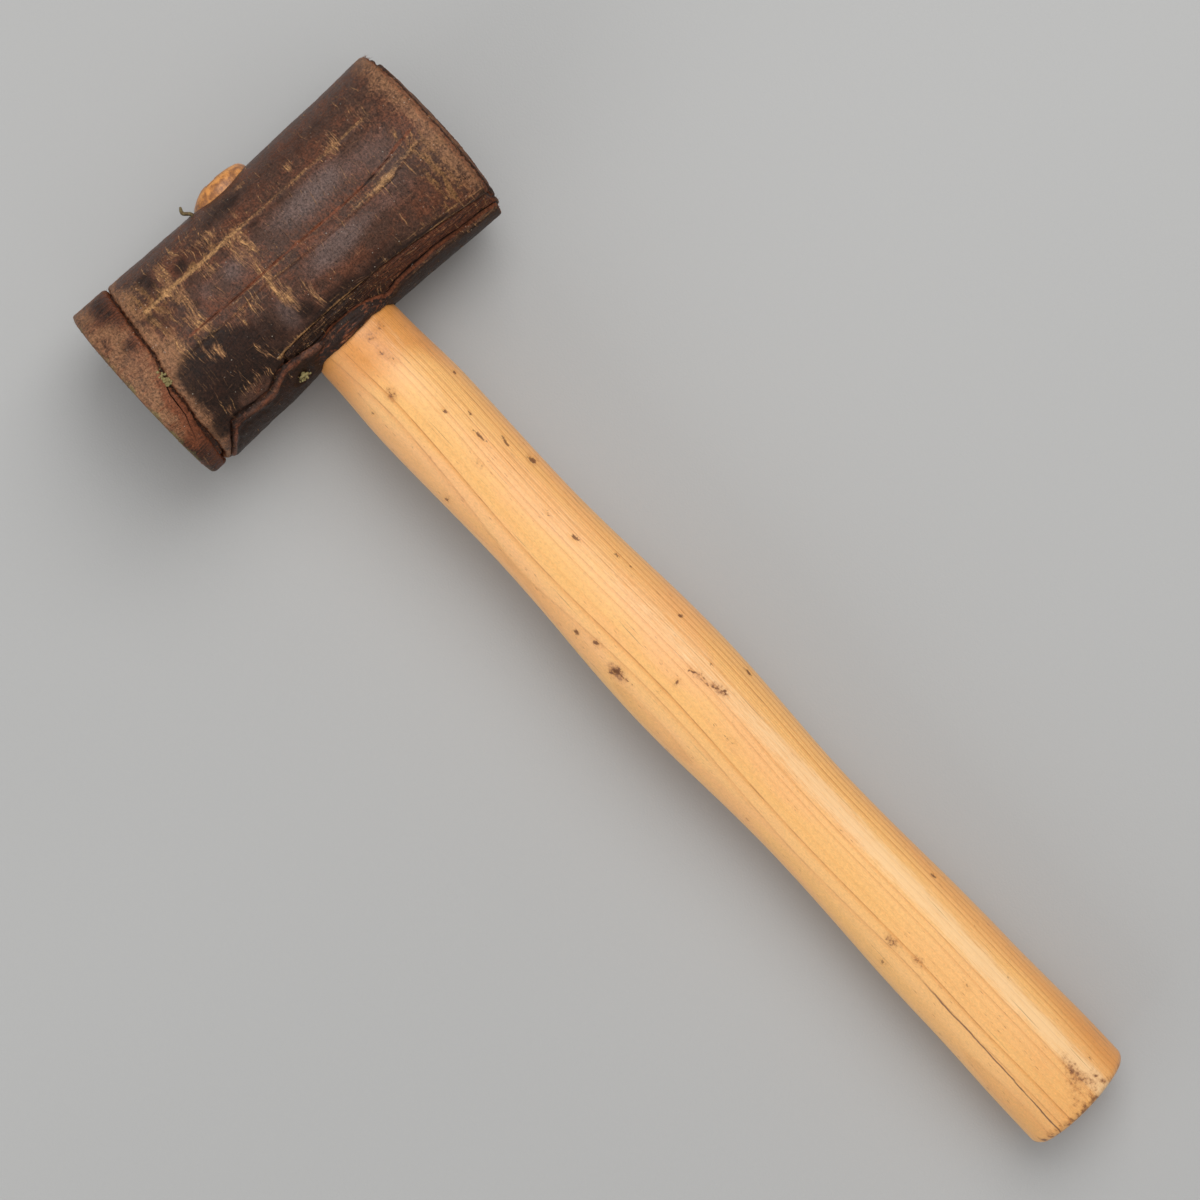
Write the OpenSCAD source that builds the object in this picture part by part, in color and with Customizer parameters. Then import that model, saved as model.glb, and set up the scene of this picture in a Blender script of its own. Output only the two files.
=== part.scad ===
// A rolled rawhide mallet with a wooden handle, lying on its side as it rests on a bench.
// X runs along the handle towards its butt, Y along the head towards its crowned face, Z up.
// The origin is on the bench, under the middle of the whole mallet.
// The head is a long strip of hide wound on itself, inside one outer sheet of thicker hide.
// Its outer sheet has an open seam beside the handle, and has torn through near the flat face.

/* [Head] */
// Length of the head, from the flat face to the top of the crowned face
head_len = 99.9; // [92:0.1:110]
// Diameter of the head at its waist
waist_d = 50; // [47:0.1:54]
// Diameter of the head at its beaten ends
face_d = 52.2; // [50:0.1:56]
// Height of the crown on the face that was struck least
crown_h = 2.6; // [1:0.1:5]

/* [Wound strip] */
// Whole turns that the strip makes before its last one, which is cut away to a thin edge
turns = 9; // [7:1:11]
// Gap left between two turns of the strip as the hide dries
strip_gap = 0.45; // [0.4:0.05:0.6]
// Radius of the hole inside the first turn
core_r = 0.9; // [0.6:0.1:2]
// Thickness left of the last turn at the head's waist
last_turn_t = 0.5; // [0.3:0.1:0.8]

/* [Outer sheet] */
// Thickness of the outer sheet
sheet_t = 2.2; // [1.6:0.1:2.8]
// Gap between the wound strip and the outer sheet
sheet_fit = 0.15; // [0.1:0.05:0.3]
// How far the sheet's rim stops short of the wound strip's shoulder at the crowned face
sheet_short = 0.3; // [0.2:0.1:2]
// How far the sheet has dried away from the wound strip at that rim
rim_gap = 0.7; // [0.2:0.1:1]
// Distance from that rim over which it has come away
rim_gap_reach = 12; // [6:1:20]
// Radius of the worn outer edge of both rims
rim_r = 1.3; // [0.6:0.1:1.8]
// Direction of the seam, in degrees from straight up towards the handle
seam_dir = 56; // [50:1:60]
// Height of the flap, the lifted end of the sheet, over the sheet that it covers
flap_h = 0.9; // [0.8:0.1:1.8]
// Width of the tear between the sheet and the band that broke off it
tear_w = 0.8; // [0.4:0.1:1.5]
// Width of the band's own split, where it starts at the nail
split_w = 0.4; // [0.2:0.1:0.8]

/* [Handle] */
// Distance from the flat face to the middle of the eye
eye_from_face = 48.6; // [44:0.1:54]
// Angle of the handle out of square with the head, towards the crowned face
lean = 1.4; // [0:0.1:2]
// Distance from the head's axis to the stub that stands out at the far side
stub_end = 27.3; // [26.5:0.1:30]
// Distance from the head's axis to the butt
butt_end = 290; // [285:1:340]
// Diameter of the stub at the far side of the head
stub_d = 18.2; // [16:0.1:20]
// Diameter of the handle where it enters the head
neck_d = 24.9; // [22:0.1:26]
// Width of the shoulder outside the head
shoulder_w = 26.6; // [25:0.1:30]
// Distance from the head's axis to the shoulder
shoulder_at = 50; // [45:1:60]
// Width of the narrow place above the belly
throat_w = 25.7; // [23:0.1:28]
// Distance from the head's axis to that narrow place
throat_at = 86; // [75:1:100]
// Width of the belly in the middle of the handle
belly_w = 30.1; // [28:0.1:34]
// Distance from the head's axis to the belly
belly_at = 143; // [130:1:155]
// Width of the narrow place below the belly
wrist_w = 27; // [25:0.1:30]
// Distance from the head's axis to the narrow place below the belly
wrist_at = 190; // [175:1:205]
// Width of the grip
grip_w = 29.8; // [28:0.1:34]
// Distance from the head's axis to the grip
grip_at = 245; // [230:1:255]
// Width of the swell at the butt
butt_w = 31.2; // [30:0.1:36]
// Distance from the butt back to the widest place of its swell
butt_back = 10; // [8:0.5:14]
// Thickness of the grip, as a share of its width
oval = 0.88; // [0.8:0.01:1]
// Radius of the worn edge of the butt and of the stub
end_r = 2.6; // [1.5:0.1:4]
// Gap between the handle and its eye
eye_fit = 0.15; // [0.1:0.05:0.3]

/* [Wedge] */
// Thickness of the wedge at its thick end
wedge_t = 2.6; // [1.8:0.1:3.4]
// Thickness of the wedge at its thin end
wedge_tip_t = 0.7; // [0.5:0.1:1]
// Length of the wedge
wedge_len = 19; // [14:0.5:24]
// Width of the wedge, across the handle
wedge_w = 14.4; // [10:0.1:15]
// Gap between the wedge and its cut
wedge_fit = 0.1; // [0.05:0.05:0.2]

/* [Nails] */
// Diameter of the nails
nail_d = 1.3; // [1:0.1:1.6]
// Diameter of the nails' heads
nail_head_d = 2.8; // [2.2:0.1:3.4]
// Thickness of the nails' heads
nail_head_t = 0.5; // [0.4:0.1:0.8]
// Gap between a nail and its hole
nail_fit = 0.1; // [0.05:0.05:0.2]
// Hide left between the seam nail's hole and the eye, where that nail comes out
nail_wall = 0.8; // [0.5:0.1:2]
// Length of the nail in the torn band
band_nail_len = 17; // [12:0.5:22]
// Length of the seam nail's tip between its two bends
tip_len = 1.2; // [0.8:0.1:2]
// Radius of both bends, at the middle of the nail
bend_r = 1; // [0.9:0.1:1.4]
// Angle of the bend where the nail leaves the hide
first_bend = 55; // [30:1:80]
// Angle of the bend back, before the point
last_bend = 80; // [30:1:100]

/* [Hidden] */

wood = [0.86, 0.62, 0.36];
pale_wood = [0.75, 0.56, 0.35];
dark_hide = [0.27, 0.16, 0.12];
red_hide = [0.36, 0.2, 0.13];
tan_hide = [0.45, 0.3, 0.18];
brass = [0.55, 0.5, 0.28];

round_fn = 96;

// The head's profile, along its axis from the flat face at 0.
face_y = -head_len / 2;
shoulder_t = head_len - crown_h;
rim_t = shoulder_t - sheet_short;
waist_r = waist_d / 2;
face_r = face_d / 2;
eye_y = face_y + eye_from_face;

function head_r(t) = waist_r + (face_r - waist_r) * pow(2 * t / rim_t - 1, 2);
function worn(d) = d < rim_r ? rim_r - sqrt(rim_r * rim_r - pow(rim_r - d, 2)) : 0;
function sheet_r(t) = head_r(t) - worn(t) - worn(rim_t - t);
function bore_r(t) = head_r(t) - sheet_t + rim_gap * pow(max(0, 1 - (rim_t - t) / rim_gap_reach), 2);
function roll_r(t) = head_r(t) - sheet_t - sheet_fit;

rim_steps = 4;
body_steps = 10;
rim_stops = [for (i = [0:rim_steps]) rim_r * (1 - cos(90 * i / rim_steps))];
body_stops = [for (i = [1:body_steps - 1]) rim_r + (rim_t - 2 * rim_r) * i / body_steps];
sheet_stops = concat(
    rim_stops,
    body_stops,
    [for (i = [rim_steps:-1:0]) rim_t - rim_stops[i]]
);
crown_steps = 8;
crown_square = 0.8;

// The strip's turns are half rings about two centres, half a pitch apart. Its end lies under the head.
pitch = (waist_r - sheet_t - sheet_fit - last_turn_t - core_r) / turns;
strip_t = pitch - strip_gap;
function turn_r(i) = core_r + i * pitch / 2;
last_half_turn = 2 * turns + 1;
echo(str("Thickness of the strip: ", strip_t, " mm"));
echo(str("Least gap between its turns: ", min([for (i = [2:last_half_turn]) turn_r(i) - turn_r(i - 2) - strip_t]), " mm"));

// The tear's line, as distances along the handle and from the flat face.
tear_line = [
    [-30, 10.9], [-23.5, 11.1], [-14.5, 10.6], [-4.7, 10], [0.7, 8.6], [4.6, 7.7],
    [10.2, 7.5], [15.3, 6.5], [20.6, 5.7], [25.1, 4.6], [40, 4.2]
];
// The middle of the band's split, which runs from the nail towards the flat face.
split_line = [[3.3, 7.4], [6.1, 6.4], [11.9, 5.8], [18.3, 3.3]];
// The seam's two edges, as distances across the seam and from the flat face.
seam_upper_edge = [[-5.1, 31.4], [-5.9, 34.3], [-6.2, 46.1], [-5.6, 64.7], [-3.3, 83.4], [-0.6, 100]];
seam_lower_edge = [
    [7.2, 100], [5.8, 88.6], [4, 78.7], [4.4, 65.8], [6.2, 62.9], [4, 53], [6.6, 42.1], [0.7, 33.7]
];
// The flap's free edge, as distances from the flat face and up from the head's axis.
flap_edge = [
    [6.4, -30], [6.6, 2], [9.7, 10.6], [12.5, 15.3], [14.6, 15.9], [20.3, 14.5], [24.5, 14], [28.4, 16.3],
    [31.1, 17], [33.3, 16.6], [35.4, 14.2], [38.1, 12.6], [42, 11], [42, -30]
];
// The direction in which the flap has lifted.
flap_dir = 75;

// The handle's stations, as distances from the head's axis and widths.
neck_at = waist_r + 2;
stations = [
    [-stub_end, stub_d], [neck_at, neck_d], [shoulder_at, shoulder_w], [throat_at, throat_w],
    [belly_at, belly_w], [wrist_at, wrist_w], [grip_at, grip_w], [butt_end - butt_back, butt_w]
];
handle_sides = 36;
handle_step = 6;
end_steps = 4;
dome_h = 0.7;

function ease(s) = (1 - cos(180 * s)) / 2;
function share(x, a, b) = max(0, min(1, (x - a) / (b - a)));
function taper_d(x) = stub_d + (neck_d - stub_d) * (x + stub_end) / (neck_at + stub_end);
function eased_w(x, i) = let(a = stations[i], b = stations[i + 1])
    x <= b[0] || i == len(stations) - 2 ? a[1] + (b[1] - a[1]) * ease(share(x, a[0], b[0]))
    : eased_w(x, i + 1);
function handle_w(x) = x < neck_at ? taper_d(x) : eased_w(x, 1);
function handle_oval(x) = 1 + (oval - 1) * ease(share(x, neck_at, throat_at));
function handle_ring(x, inset) = let(w = handle_w(x) / 2 - inset, h = handle_w(x) / 2 * handle_oval(x) - inset)
    [for (k = [0:handle_sides - 1]) [x, w * cos(360 * k / handle_sides), h * sin(360 * k / handle_sides)]];

// The nails' ends, in the head's own frame.
seam_nail_dir = 67;
seam_nail_t = 33.2;
seam_nail_exit_t = 39.3;
band_nail_t = 7.8;
band_nail_x = 3.3;

// The seam nail comes out beside the handle, and above its middle.
exit_reach = taper_d(-waist_r) / 2 + eye_fit + nail_wall + nail_fit + nail_d / 2;
exit_side = face_y + seam_nail_exit_t - eye_y + waist_r * tan(lean);
seam_nail_exit_z = sqrt(max(0, exit_reach * exit_reach - exit_side * exit_side));

seam_nail_r = head_r(seam_nail_t) + flap_h * cos(flap_dir - seam_nail_dir);
seam_nail_from = [
    seam_nail_r * sin(seam_nail_dir), face_y + seam_nail_t, seam_nail_r * cos(seam_nail_dir)
];
seam_nail_to = [
    -sqrt(pow(head_r(seam_nail_exit_t), 2) - pow(seam_nail_exit_z, 2)),
    face_y + seam_nail_exit_t,
    seam_nail_exit_z
];

seam_nail_len = norm(seam_nail_to - seam_nail_from);
band_nail_from = [band_nail_x, face_y + band_nail_t, head_r(band_nail_t)];
hole_over = 3;
bend_over = 0.1;
bend_swell = 0.06;

// How the mallet lies: the head's two rims and the butt touch the bench.
butt_foot = [butt_end - end_r, butt_w * oval / 2];
rest_tilt = asin(head_r(rim_r) / norm(butt_foot)) - atan2(butt_foot[1], butt_foot[0]);
middle_x = (butt_end - stub_end) / 2 * cos(rest_tilt);

module at_rest() {
    translate([-middle_x, 0, head_r(rim_r)]) rotate([0, rest_tilt, 0]) children();
}

module along_head() {
    translate([0, face_y, 0]) rotate([-90, 0, 0]) children();
}

module along_handle() {
    translate([0, eye_y, 0]) rotate([0, 0, lean]) children();
}

// The handle before its wedge is driven, as one loft from the stub to the butt.
module handle_blank() {
    body_xs = [for (x = [-stub_end + end_r:handle_step:butt_end - end_r - 1]) x];
    rings = concat(
        [for (i = [end_steps:-1:1]) let(a = 90 * i / end_steps)
            handle_ring(-stub_end + end_r * (1 - sin(a)), end_r * (1 - cos(a)))],
        [for (x = body_xs) handle_ring(x, 0)],
        [for (i = [0:end_steps]) let(a = 90 * i / end_steps)
            handle_ring(butt_end - end_r * (1 - sin(a)), end_r * (1 - cos(a)))]
    );
    flat = [for (ring = rings) each ring];
    last = len(rings) - 1;
    n = handle_sides;
    points = concat([[-stub_end - dome_h, 0, 0]], flat, [[butt_end + dome_h, 0, 0]]);
    sides = [for (i = [0:last - 1], k = [0:n - 1])
        let(a = 1 + i * n + k, b = 1 + i * n + (k + 1) % n)
            each [[a, a + n, b], [b, a + n, b + n]]];
    stub_cap = [for (k = [0:n - 1]) [0, 1 + k, 1 + (k + 1) % n]];
    butt_cap = [for (k = [0:n - 1]) [len(points) - 1, 1 + last * n + (k + 1) % n, 1 + last * n + k]];
    polyhedron(points = points, faces = concat(stub_cap, sides, butt_cap));
}

// The wedge, driven along the handle from the stub, with room around it for the cut.
module wedge_blank(room) {
    start = -stub_end - dome_h - 1;
    thick = wedge_t / 2 + room;
    thin = wedge_tip_t / 2 + room;
    tip = -stub_end + wedge_len + room;
    translate([0, 0, -wedge_w / 2 - room]) linear_extrude(wedge_w + 2 * room)
        polygon([[start, -thick], [-stub_end, -thick], [tip, -thin], [tip, thin], [-stub_end, thick], [start, thick]]);
}

// The tapered eye that the handle is driven into.
module eye() {
    from = -stub_end - 4;
    to = neck_at + 6;
    along_handle() translate([from, 0, 0]) rotate([0, 90, 0])
        cylinder(h = to - from, d1 = taper_d(from) + 2 * eye_fit, d2 = taper_d(to) + 2 * eye_fit, $fn = round_fn);
}

// Places what starts at the origin and runs up Z along the line from a to b.
module on_line(a, b) {
    v = b - a;
    translate(a) rotate([0, acos(v.z / norm(v)), atan2(v.y, v.x)]) children();
}

// The hole for a nail and its head, open above the head and, past the given length, open at its end.
module nail_hole(length) {
    translate([0, 0, -hole_over]) cylinder(h = length + hole_over, d = nail_d + 2 * nail_fit, $fn = 32);
    translate([0, 0, -hole_over])
        cylinder(h = nail_head_t + nail_fit + hole_over, d = nail_head_d + 2 * nail_fit, $fn = 32);
}

module seam_nail_hole() {
    on_line(seam_nail_from, seam_nail_to) nail_hole(seam_nail_len + hole_over);
}

module on_band_nail() {
    on_line(band_nail_from, band_nail_from - [0, 0, band_nail_len]) children();
}

module band_nail_hole() {
    on_band_nail() nail_hole(band_nail_len + nail_fit);
}

// The wound strip, as half rings that meet end to end.
module strip() {
    for (i = [0:last_half_turn])
        translate([i % 2 == 0 ? 0 : pitch / 2, 0, 0]) rotate([0, 0, i % 2 == 0 ? 0 : 180])
            rotate_extrude(angle = 180, $fn = round_fn)
                translate([turn_r(i), -1]) square([strip_t, head_len + 2]);
}

// The outside of the wound strip: waisted, with a flat face and a crowned one.
module roll_outline() {
    rotate_extrude($fn = round_fn) polygon(concat(
        [[0, 0]],
        [for (t = sheet_stops) [roll_r(t), t]],
        [for (i = [0:crown_steps]) let(a = 90 * i / crown_steps)
            [roll_r(rim_t) * pow(cos(a), crown_square), shoulder_t + crown_h * sin(a)]]
    ));
}

// The outer sheet as a closed ring, before it was trimmed or torn.
module sheet_ring() {
    rotate_extrude($fn = round_fn) polygon(concat(
        [for (t = sheet_stops) [sheet_r(t), t]],
        [for (i = [len(sheet_stops) - 1:-1:0]) let(t = sheet_stops[i]) [bore_r(t), t]]
    ));
}

// The flap is the same ring, lifted a little off its place, so that it fades out under the head.
module flap() {
    intersection() {
        translate([flap_h * sin(flap_dir), 0, flap_h * cos(flap_dir)]) along_head() sheet_ring();
        translate([face_r * cos(flap_dir), face_y, 0]) rotate([90, 0, 90])
            linear_extrude(2 * face_r) polygon(flap_edge);
    }
}

// Everything on the flat face's side of the tear, moved along by half its width.
module torn_side(shift) {
    translate([0, face_y + shift, -face_r - 5]) linear_extrude(2 * face_r + 10)
        polygon(concat([[40, -10], [-30, -10]], tear_line));
}

// The band's split, which narrows to nothing at its far end.
module band_split() {
    last = len(split_line) - 1;
    translate([0, face_y, waist_r / 2]) linear_extrude(waist_r) polygon(concat(
        [for (i = [0:last]) split_line[i] + [0, split_w / 2 * (1 - i / last)]],
        [for (i = [last - 1:-1:0]) split_line[i] - [0, split_w / 2 * (1 - i / last)]]
    ));
}

// The opening of the seam, through which the wound strip shows.
module seam_opening() {
    rotate([0, seam_dir, 0]) translate([0, face_y, waist_r - sheet_t - 3]) linear_extrude(12)
        polygon(concat(seam_upper_edge, seam_lower_edge));
}

module handle() {
    color(wood) at_rest() along_handle() difference() {
        handle_blank();
        wedge_blank(wedge_fit);
    }
}

module handle_wedge() {
    color(pale_wood) at_rest() along_handle() intersection() {
        wedge_blank(0);
        handle_blank();
    }
}

module hide_roll() {
    color(red_hide) at_rest() difference() {
        along_head() rotate([0, 0, 180]) intersection() {
            roll_outline();
            strip();
        }
        eye();
        seam_nail_hole();
        band_nail_hole();
    }
}

module outer_sheet() {
    color(dark_hide) at_rest() difference() {
        union() {
            along_head() sheet_ring();
            flap();
        }
        seam_opening();
        torn_side(tear_w / 2);
        eye();
        seam_nail_hole();
        band_nail_hole();
    }
}

module torn_band() {
    color(tan_hide) at_rest() difference() {
        intersection() {
            along_head() sheet_ring();
            torn_side(-tear_w / 2);
        }
        band_split();
        band_nail_hole();
    }
}

// A straight length of the nail, which runs a little way into the bend before it.
module straight(length, point_d = nail_d) {
    translate([0, 0, -bend_over]) cylinder(h = length + bend_over, d1 = nail_d, d2 = point_d, $fn = 32);
}

// A bend in the nail, from Z towards Y, with what follows it at its far end. The wire swells a little there.
module bend(angle) {
    translate([0, bend_r, 0]) rotate([90, 0, -90]) rotate_extrude(angle = angle, $fn = round_fn)
        translate([bend_r, 0]) circle(d = nail_d + bend_swell, $fn = 32);
    translate([0, bend_r * (1 - cos(angle)), bend_r * sin(angle)]) rotate([-angle, 0, 0]) children();
}

// The seam nail, driven in beside the handle and bent over at the far side of the head.
module seam_nail() {
    color(brass) at_rest() on_line(seam_nail_from, seam_nail_to) {
        cylinder(h = nail_head_t, d = nail_head_d, $fn = 32);
        translate([0, 0, bend_over]) straight(seam_nail_len);
        translate([0, 0, seam_nail_len]) bend(first_bend) {
            straight(tip_len + bend_over);
            translate([0, 0, tip_len]) mirror([0, 1, 0]) bend(last_bend) straight(nail_d / 2, nail_d / 2);
        }
    }
}

module band_nail() {
    color(brass) at_rest() on_band_nail() {
        cylinder(h = nail_head_t, d = nail_head_d, $fn = 32);
        cylinder(h = band_nail_len, d = nail_d, $fn = 32);
    }
}

handle();
handle_wedge();
hide_roll();
outer_sheet();
torn_band();
seam_nail();
band_nail();
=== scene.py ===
"""Dresses the packed rawhide mallet: hide, wood, nails, a pale floor, soft light and a camera."""
import math

import bpy
import numpy as np
from bpy.props import FloatProperty, FloatVectorProperty, IntProperty, PointerProperty
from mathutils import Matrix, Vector


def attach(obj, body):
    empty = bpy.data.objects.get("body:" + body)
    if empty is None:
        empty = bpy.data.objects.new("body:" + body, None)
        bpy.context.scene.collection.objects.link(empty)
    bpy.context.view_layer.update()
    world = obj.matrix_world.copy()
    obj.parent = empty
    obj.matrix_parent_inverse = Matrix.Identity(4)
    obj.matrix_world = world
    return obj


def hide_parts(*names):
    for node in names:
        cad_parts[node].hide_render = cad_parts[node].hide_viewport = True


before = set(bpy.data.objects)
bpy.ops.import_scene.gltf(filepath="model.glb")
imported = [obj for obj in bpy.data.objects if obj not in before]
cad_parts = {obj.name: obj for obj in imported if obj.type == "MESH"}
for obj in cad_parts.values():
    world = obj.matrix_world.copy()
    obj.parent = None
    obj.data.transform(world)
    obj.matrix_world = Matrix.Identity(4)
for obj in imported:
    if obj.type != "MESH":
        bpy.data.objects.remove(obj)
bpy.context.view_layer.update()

bl_info = {
    "name": "Rawhide mallet",
    "version": (1, 0, 0),
    "blender": (4, 5, 0),
    "location": "View3D > Sidebar > Mallet",
    "description": "Builds the visible pieces of a worn rolled rawhide mallet around its packed parts",
    "category": "Add Mesh",
}

MM = 0.001
TURN = 2 * math.pi
# Width of the camera's sensor in millimetres, and of the square floor in metres.
SENSOR = 36
FLOOR_SIZE = 8
# How far past the head's waist the handle's taper goes on, in millimetres.
NECK_OUT = 2


def tone(red, green, blue):
    """A colour as seen on a screen, from 0 to 255, as the linear colour that a shader takes."""
    return tuple(((c / 255 + 0.055) / 1.055) ** 2.4 if c > 10 else c / 255 / 12.92 for c in (red, green, blue))


def length(name, description, default):
    """A setting in metres, with its default in millimetres."""
    return FloatProperty(name=name, description=description, default=default * MM, unit="LENGTH")


def degrees(name, description, default):
    """A setting in radians, with its default in degrees."""
    return FloatProperty(name=name, description=description, default=math.radians(default), subtype="ANGLE")


def watts(name, description, default):
    return FloatProperty(name=name, description=description, default=default, subtype="POWER")


def colour(name, description, default):
    return FloatVectorProperty(
        name=name, description=description, default=default, size=3, subtype="COLOR", min=0, max=1
    )


class HeadSizes(bpy.types.PropertyGroup):
    """Sizes of the wound head and its outer sheet"""
    head_len: length("Head length", "From the flat face to the top of the crowned face", 99.9)
    waist_d: length("Waist", "Diameter of the head at its waist", 50)
    face_d: length("Faces", "Diameter of the head at its beaten ends", 52.2)
    crown_h: length("Crown", "Height of the crowned face", 2.6)
    sheet_t: length("Sheet", "Thickness of the outer sheet", 2.2)
    sheet_fit: length("Sheet's fit", "Gap between the wound strip and the sheet", 0.15)
    sheet_short: length("Sheet's rim", "How far the sheet stops short of the crowned face's shoulder", 0.3)
    rim_gap: length("Rim gap", "How far the sheet has dried away from the strip at that rim", 0.7)
    rim_gap_reach: length("Rim gap's reach", "Distance from that rim over which it has come away", 12)
    rim_r: length("Rim wear", "Radius of the worn outer edge of both rims", 1.3)
    flap_h: length("Flap", "Height of the lifted end of the sheet", 0.9)
    tear_w: length("Tear", "Width of the tear between the sheet and its band", 0.8)
    turns: IntProperty(name="Turns", description="Whole turns of the wound strip before its last", default=9)
    strip_gap: length("Turns' gap", "Gap between two turns of the strip", 0.45)
    core_r: length("Core", "Radius of the hole inside the first turn", 0.9)
    last_turn_t: length("Last turn", "Thickness left of the last turn at the waist", 0.5)


class NailSizes(bpy.types.PropertyGroup):
    """Sizes of both nails"""
    nail_d: length("Nail", "Diameter of the nails", 1.3)
    nail_head_d: length("Nail's head", "Diameter of the nails' heads", 2.8)
    nail_head_t: length("Nail head's thickness", "Thickness of the nails' heads", 0.5)
    nail_fit: length("Nail's fit", "Gap between a nail and its hole", 0.1)
    nail_wall: length("Nail's wall", "Hide between the seam nail's hole and the eye, where the nail comes out", 0.8)
    band_nail_len: length("Band nail", "Length of the nail in the torn band", 17)
    tip_len: length("Nail's tip", "Length of the seam nail's tip between its two bends", 1.2)
    bend_r: length("Nail's bends", "Radius of both bends", 1)
    first_bend: degrees("First bend", "Angle of the bend where the nail comes out", 55)
    last_bend: degrees("Last bend", "Angle of the bend back", 80)


class HandleSizes(bpy.types.PropertyGroup):
    """Sizes of the wooden handle"""
    eye_from_face: length("Eye", "Distance from the flat face to the middle of the eye", 48.6)
    lean: degrees("Lean", "Angle of the handle out of square", 1.4)
    stub_end: length("Stub's end", "Distance from the head's axis to the end of the stub", 27.3)
    butt_end: length("Butt", "Distance from the head's axis to the butt", 290)
    stub_d: length("Stub", "Diameter of the stub", 18.2)
    neck_d: length("Neck", "Diameter of the handle where it enters the head", 24.9)
    oval: FloatProperty(name="Oval", description="Thickness of the grip as a share of its width", default=0.88)
    end_r: length("Worn ends", "Radius of the worn edges of the butt and the stub", 2.6)
    eye_fit: length("Eye's fit", "Gap between the handle and its eye", 0.15)
    dome_h: length("Ends' doming", "Rise of the middle of both ends", 0.7)
    wedge_t: length("Wedge", "Thickness of the wedge at its thick end", 2.6)
    wedge_w: length("Wedge's width", "Width of the wedge across the handle", 14.4)
    wedge_len: length("Wedge's length", "Length of the wedge", 19)
    wedge_tip_t: length("Wedge's tip", "Thickness of the wedge at its thin end", 0.7)
    wedge_fit: length("Wedge's fit", "Gap between the wedge and its cut", 0.1)


class HideLook(bpy.types.PropertyGroup):
    """Colours of the rawhide"""
    dark: colour("Dark hide", "The hide's oiled, darkened surface", tone(76, 52, 41))
    # Painted sheen: this grey stands in for the soft light's reflection on the rubbed hide.
    grey: colour("Grey hide", "The purplish sheen of the rubbed surface", tone(100, 82, 76))
    red: colour("Red hide", "The hide's warm middle layers", tone(116, 64, 40))
    gold: colour("Gold hide", "The golden brown of the hide near the tear", tone(132, 94, 58))
    tan: colour("Tan hide", "Fresh fibres in scuffs and along edges", tone(178, 134, 88))
    worn: colour("Worn hide", "The rubbed zones beside the tear and the rims", tone(138, 99, 71))
    # Also painted shade: it darkens the grooves of cracks, cut faces, the depths of the open seam and the gap at the
    # crowned rim.
    black_and_shade: colour("Blackened hide", "The blackened patch and the depth of the cracks", tone(30, 19, 14))
    moss: colour("Old grime", "The greenish grime along the flat rim", tone(112, 104, 66))
    crust: colour("Verdigris", "The green crust on the nails", tone(142, 130, 84))
    # Partly grit and partly painted glints: pale specks where the hide would catch the light.
    grit_and_glints: colour("Dust", "Pale grit caught in the surface", tone(196, 184, 168))
    metal: colour("Nail", "The dull brown brass of the nails", tone(98, 80, 54))


class WoodLook(bpy.types.PropertyGroup):
    """Colours of the varnished handle"""
    pale: colour("Pale wood", "The wood between its grain lines", tone(247, 188, 113))
    peach: colour("Rosy wood", "The wood's rosy clouds", tone(248, 184, 116))
    # Also laid near the neck, where it is partly painted shade and warm light reflected from the hide.
    amber: colour("Amber wood", "The wood's darker grain under old varnish", tone(222, 146, 68))
    line: colour("Grain line", "The thin dark grain lines", tone(176, 110, 56))
    bruise: colour("Bruise", "The brown nicks and stains", tone(112, 68, 38))
    # Painted highlight: the lamp's soft reflection along the top of the grip, laid as pale colour.
    bright: colour("Bleached streak", "The pale streak along the grip", tone(255, 214, 160))
    end: colour("End grain", "The bare wood of both ends", tone(188, 128, 72))


class StageSettings(bpy.types.PropertyGroup):
    """The camera, the floor and the light"""
    camera_x: length("Camera along the handle", "Place of the camera over the mallet, along the handle", -17.3)
    camera_y: length("Camera along the head", "Place of the camera over the mallet, along the head", 0.35)
    camera_z: length("Camera's height", "Height of the camera over the floor", 960)
    view_w: length("View", "Width of the view at the height of the head's axis", 298.5)
    turn: degrees("Turn", "Turn of the view from the handle's own line", 47.92)
    floor: colour("Floor", "The pale grey floor", tone(181, 181, 180))
    key: watts("Key light", "Strength of the large soft light", 6.3)
    fill: watts("Fill light", "Strength of the light from the other side", 2.6)
    world: FloatProperty(name="Room light", description="Strength of the even light from all round", default=0.42)


# Sizes in millimetres, and the head's own shape.

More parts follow.
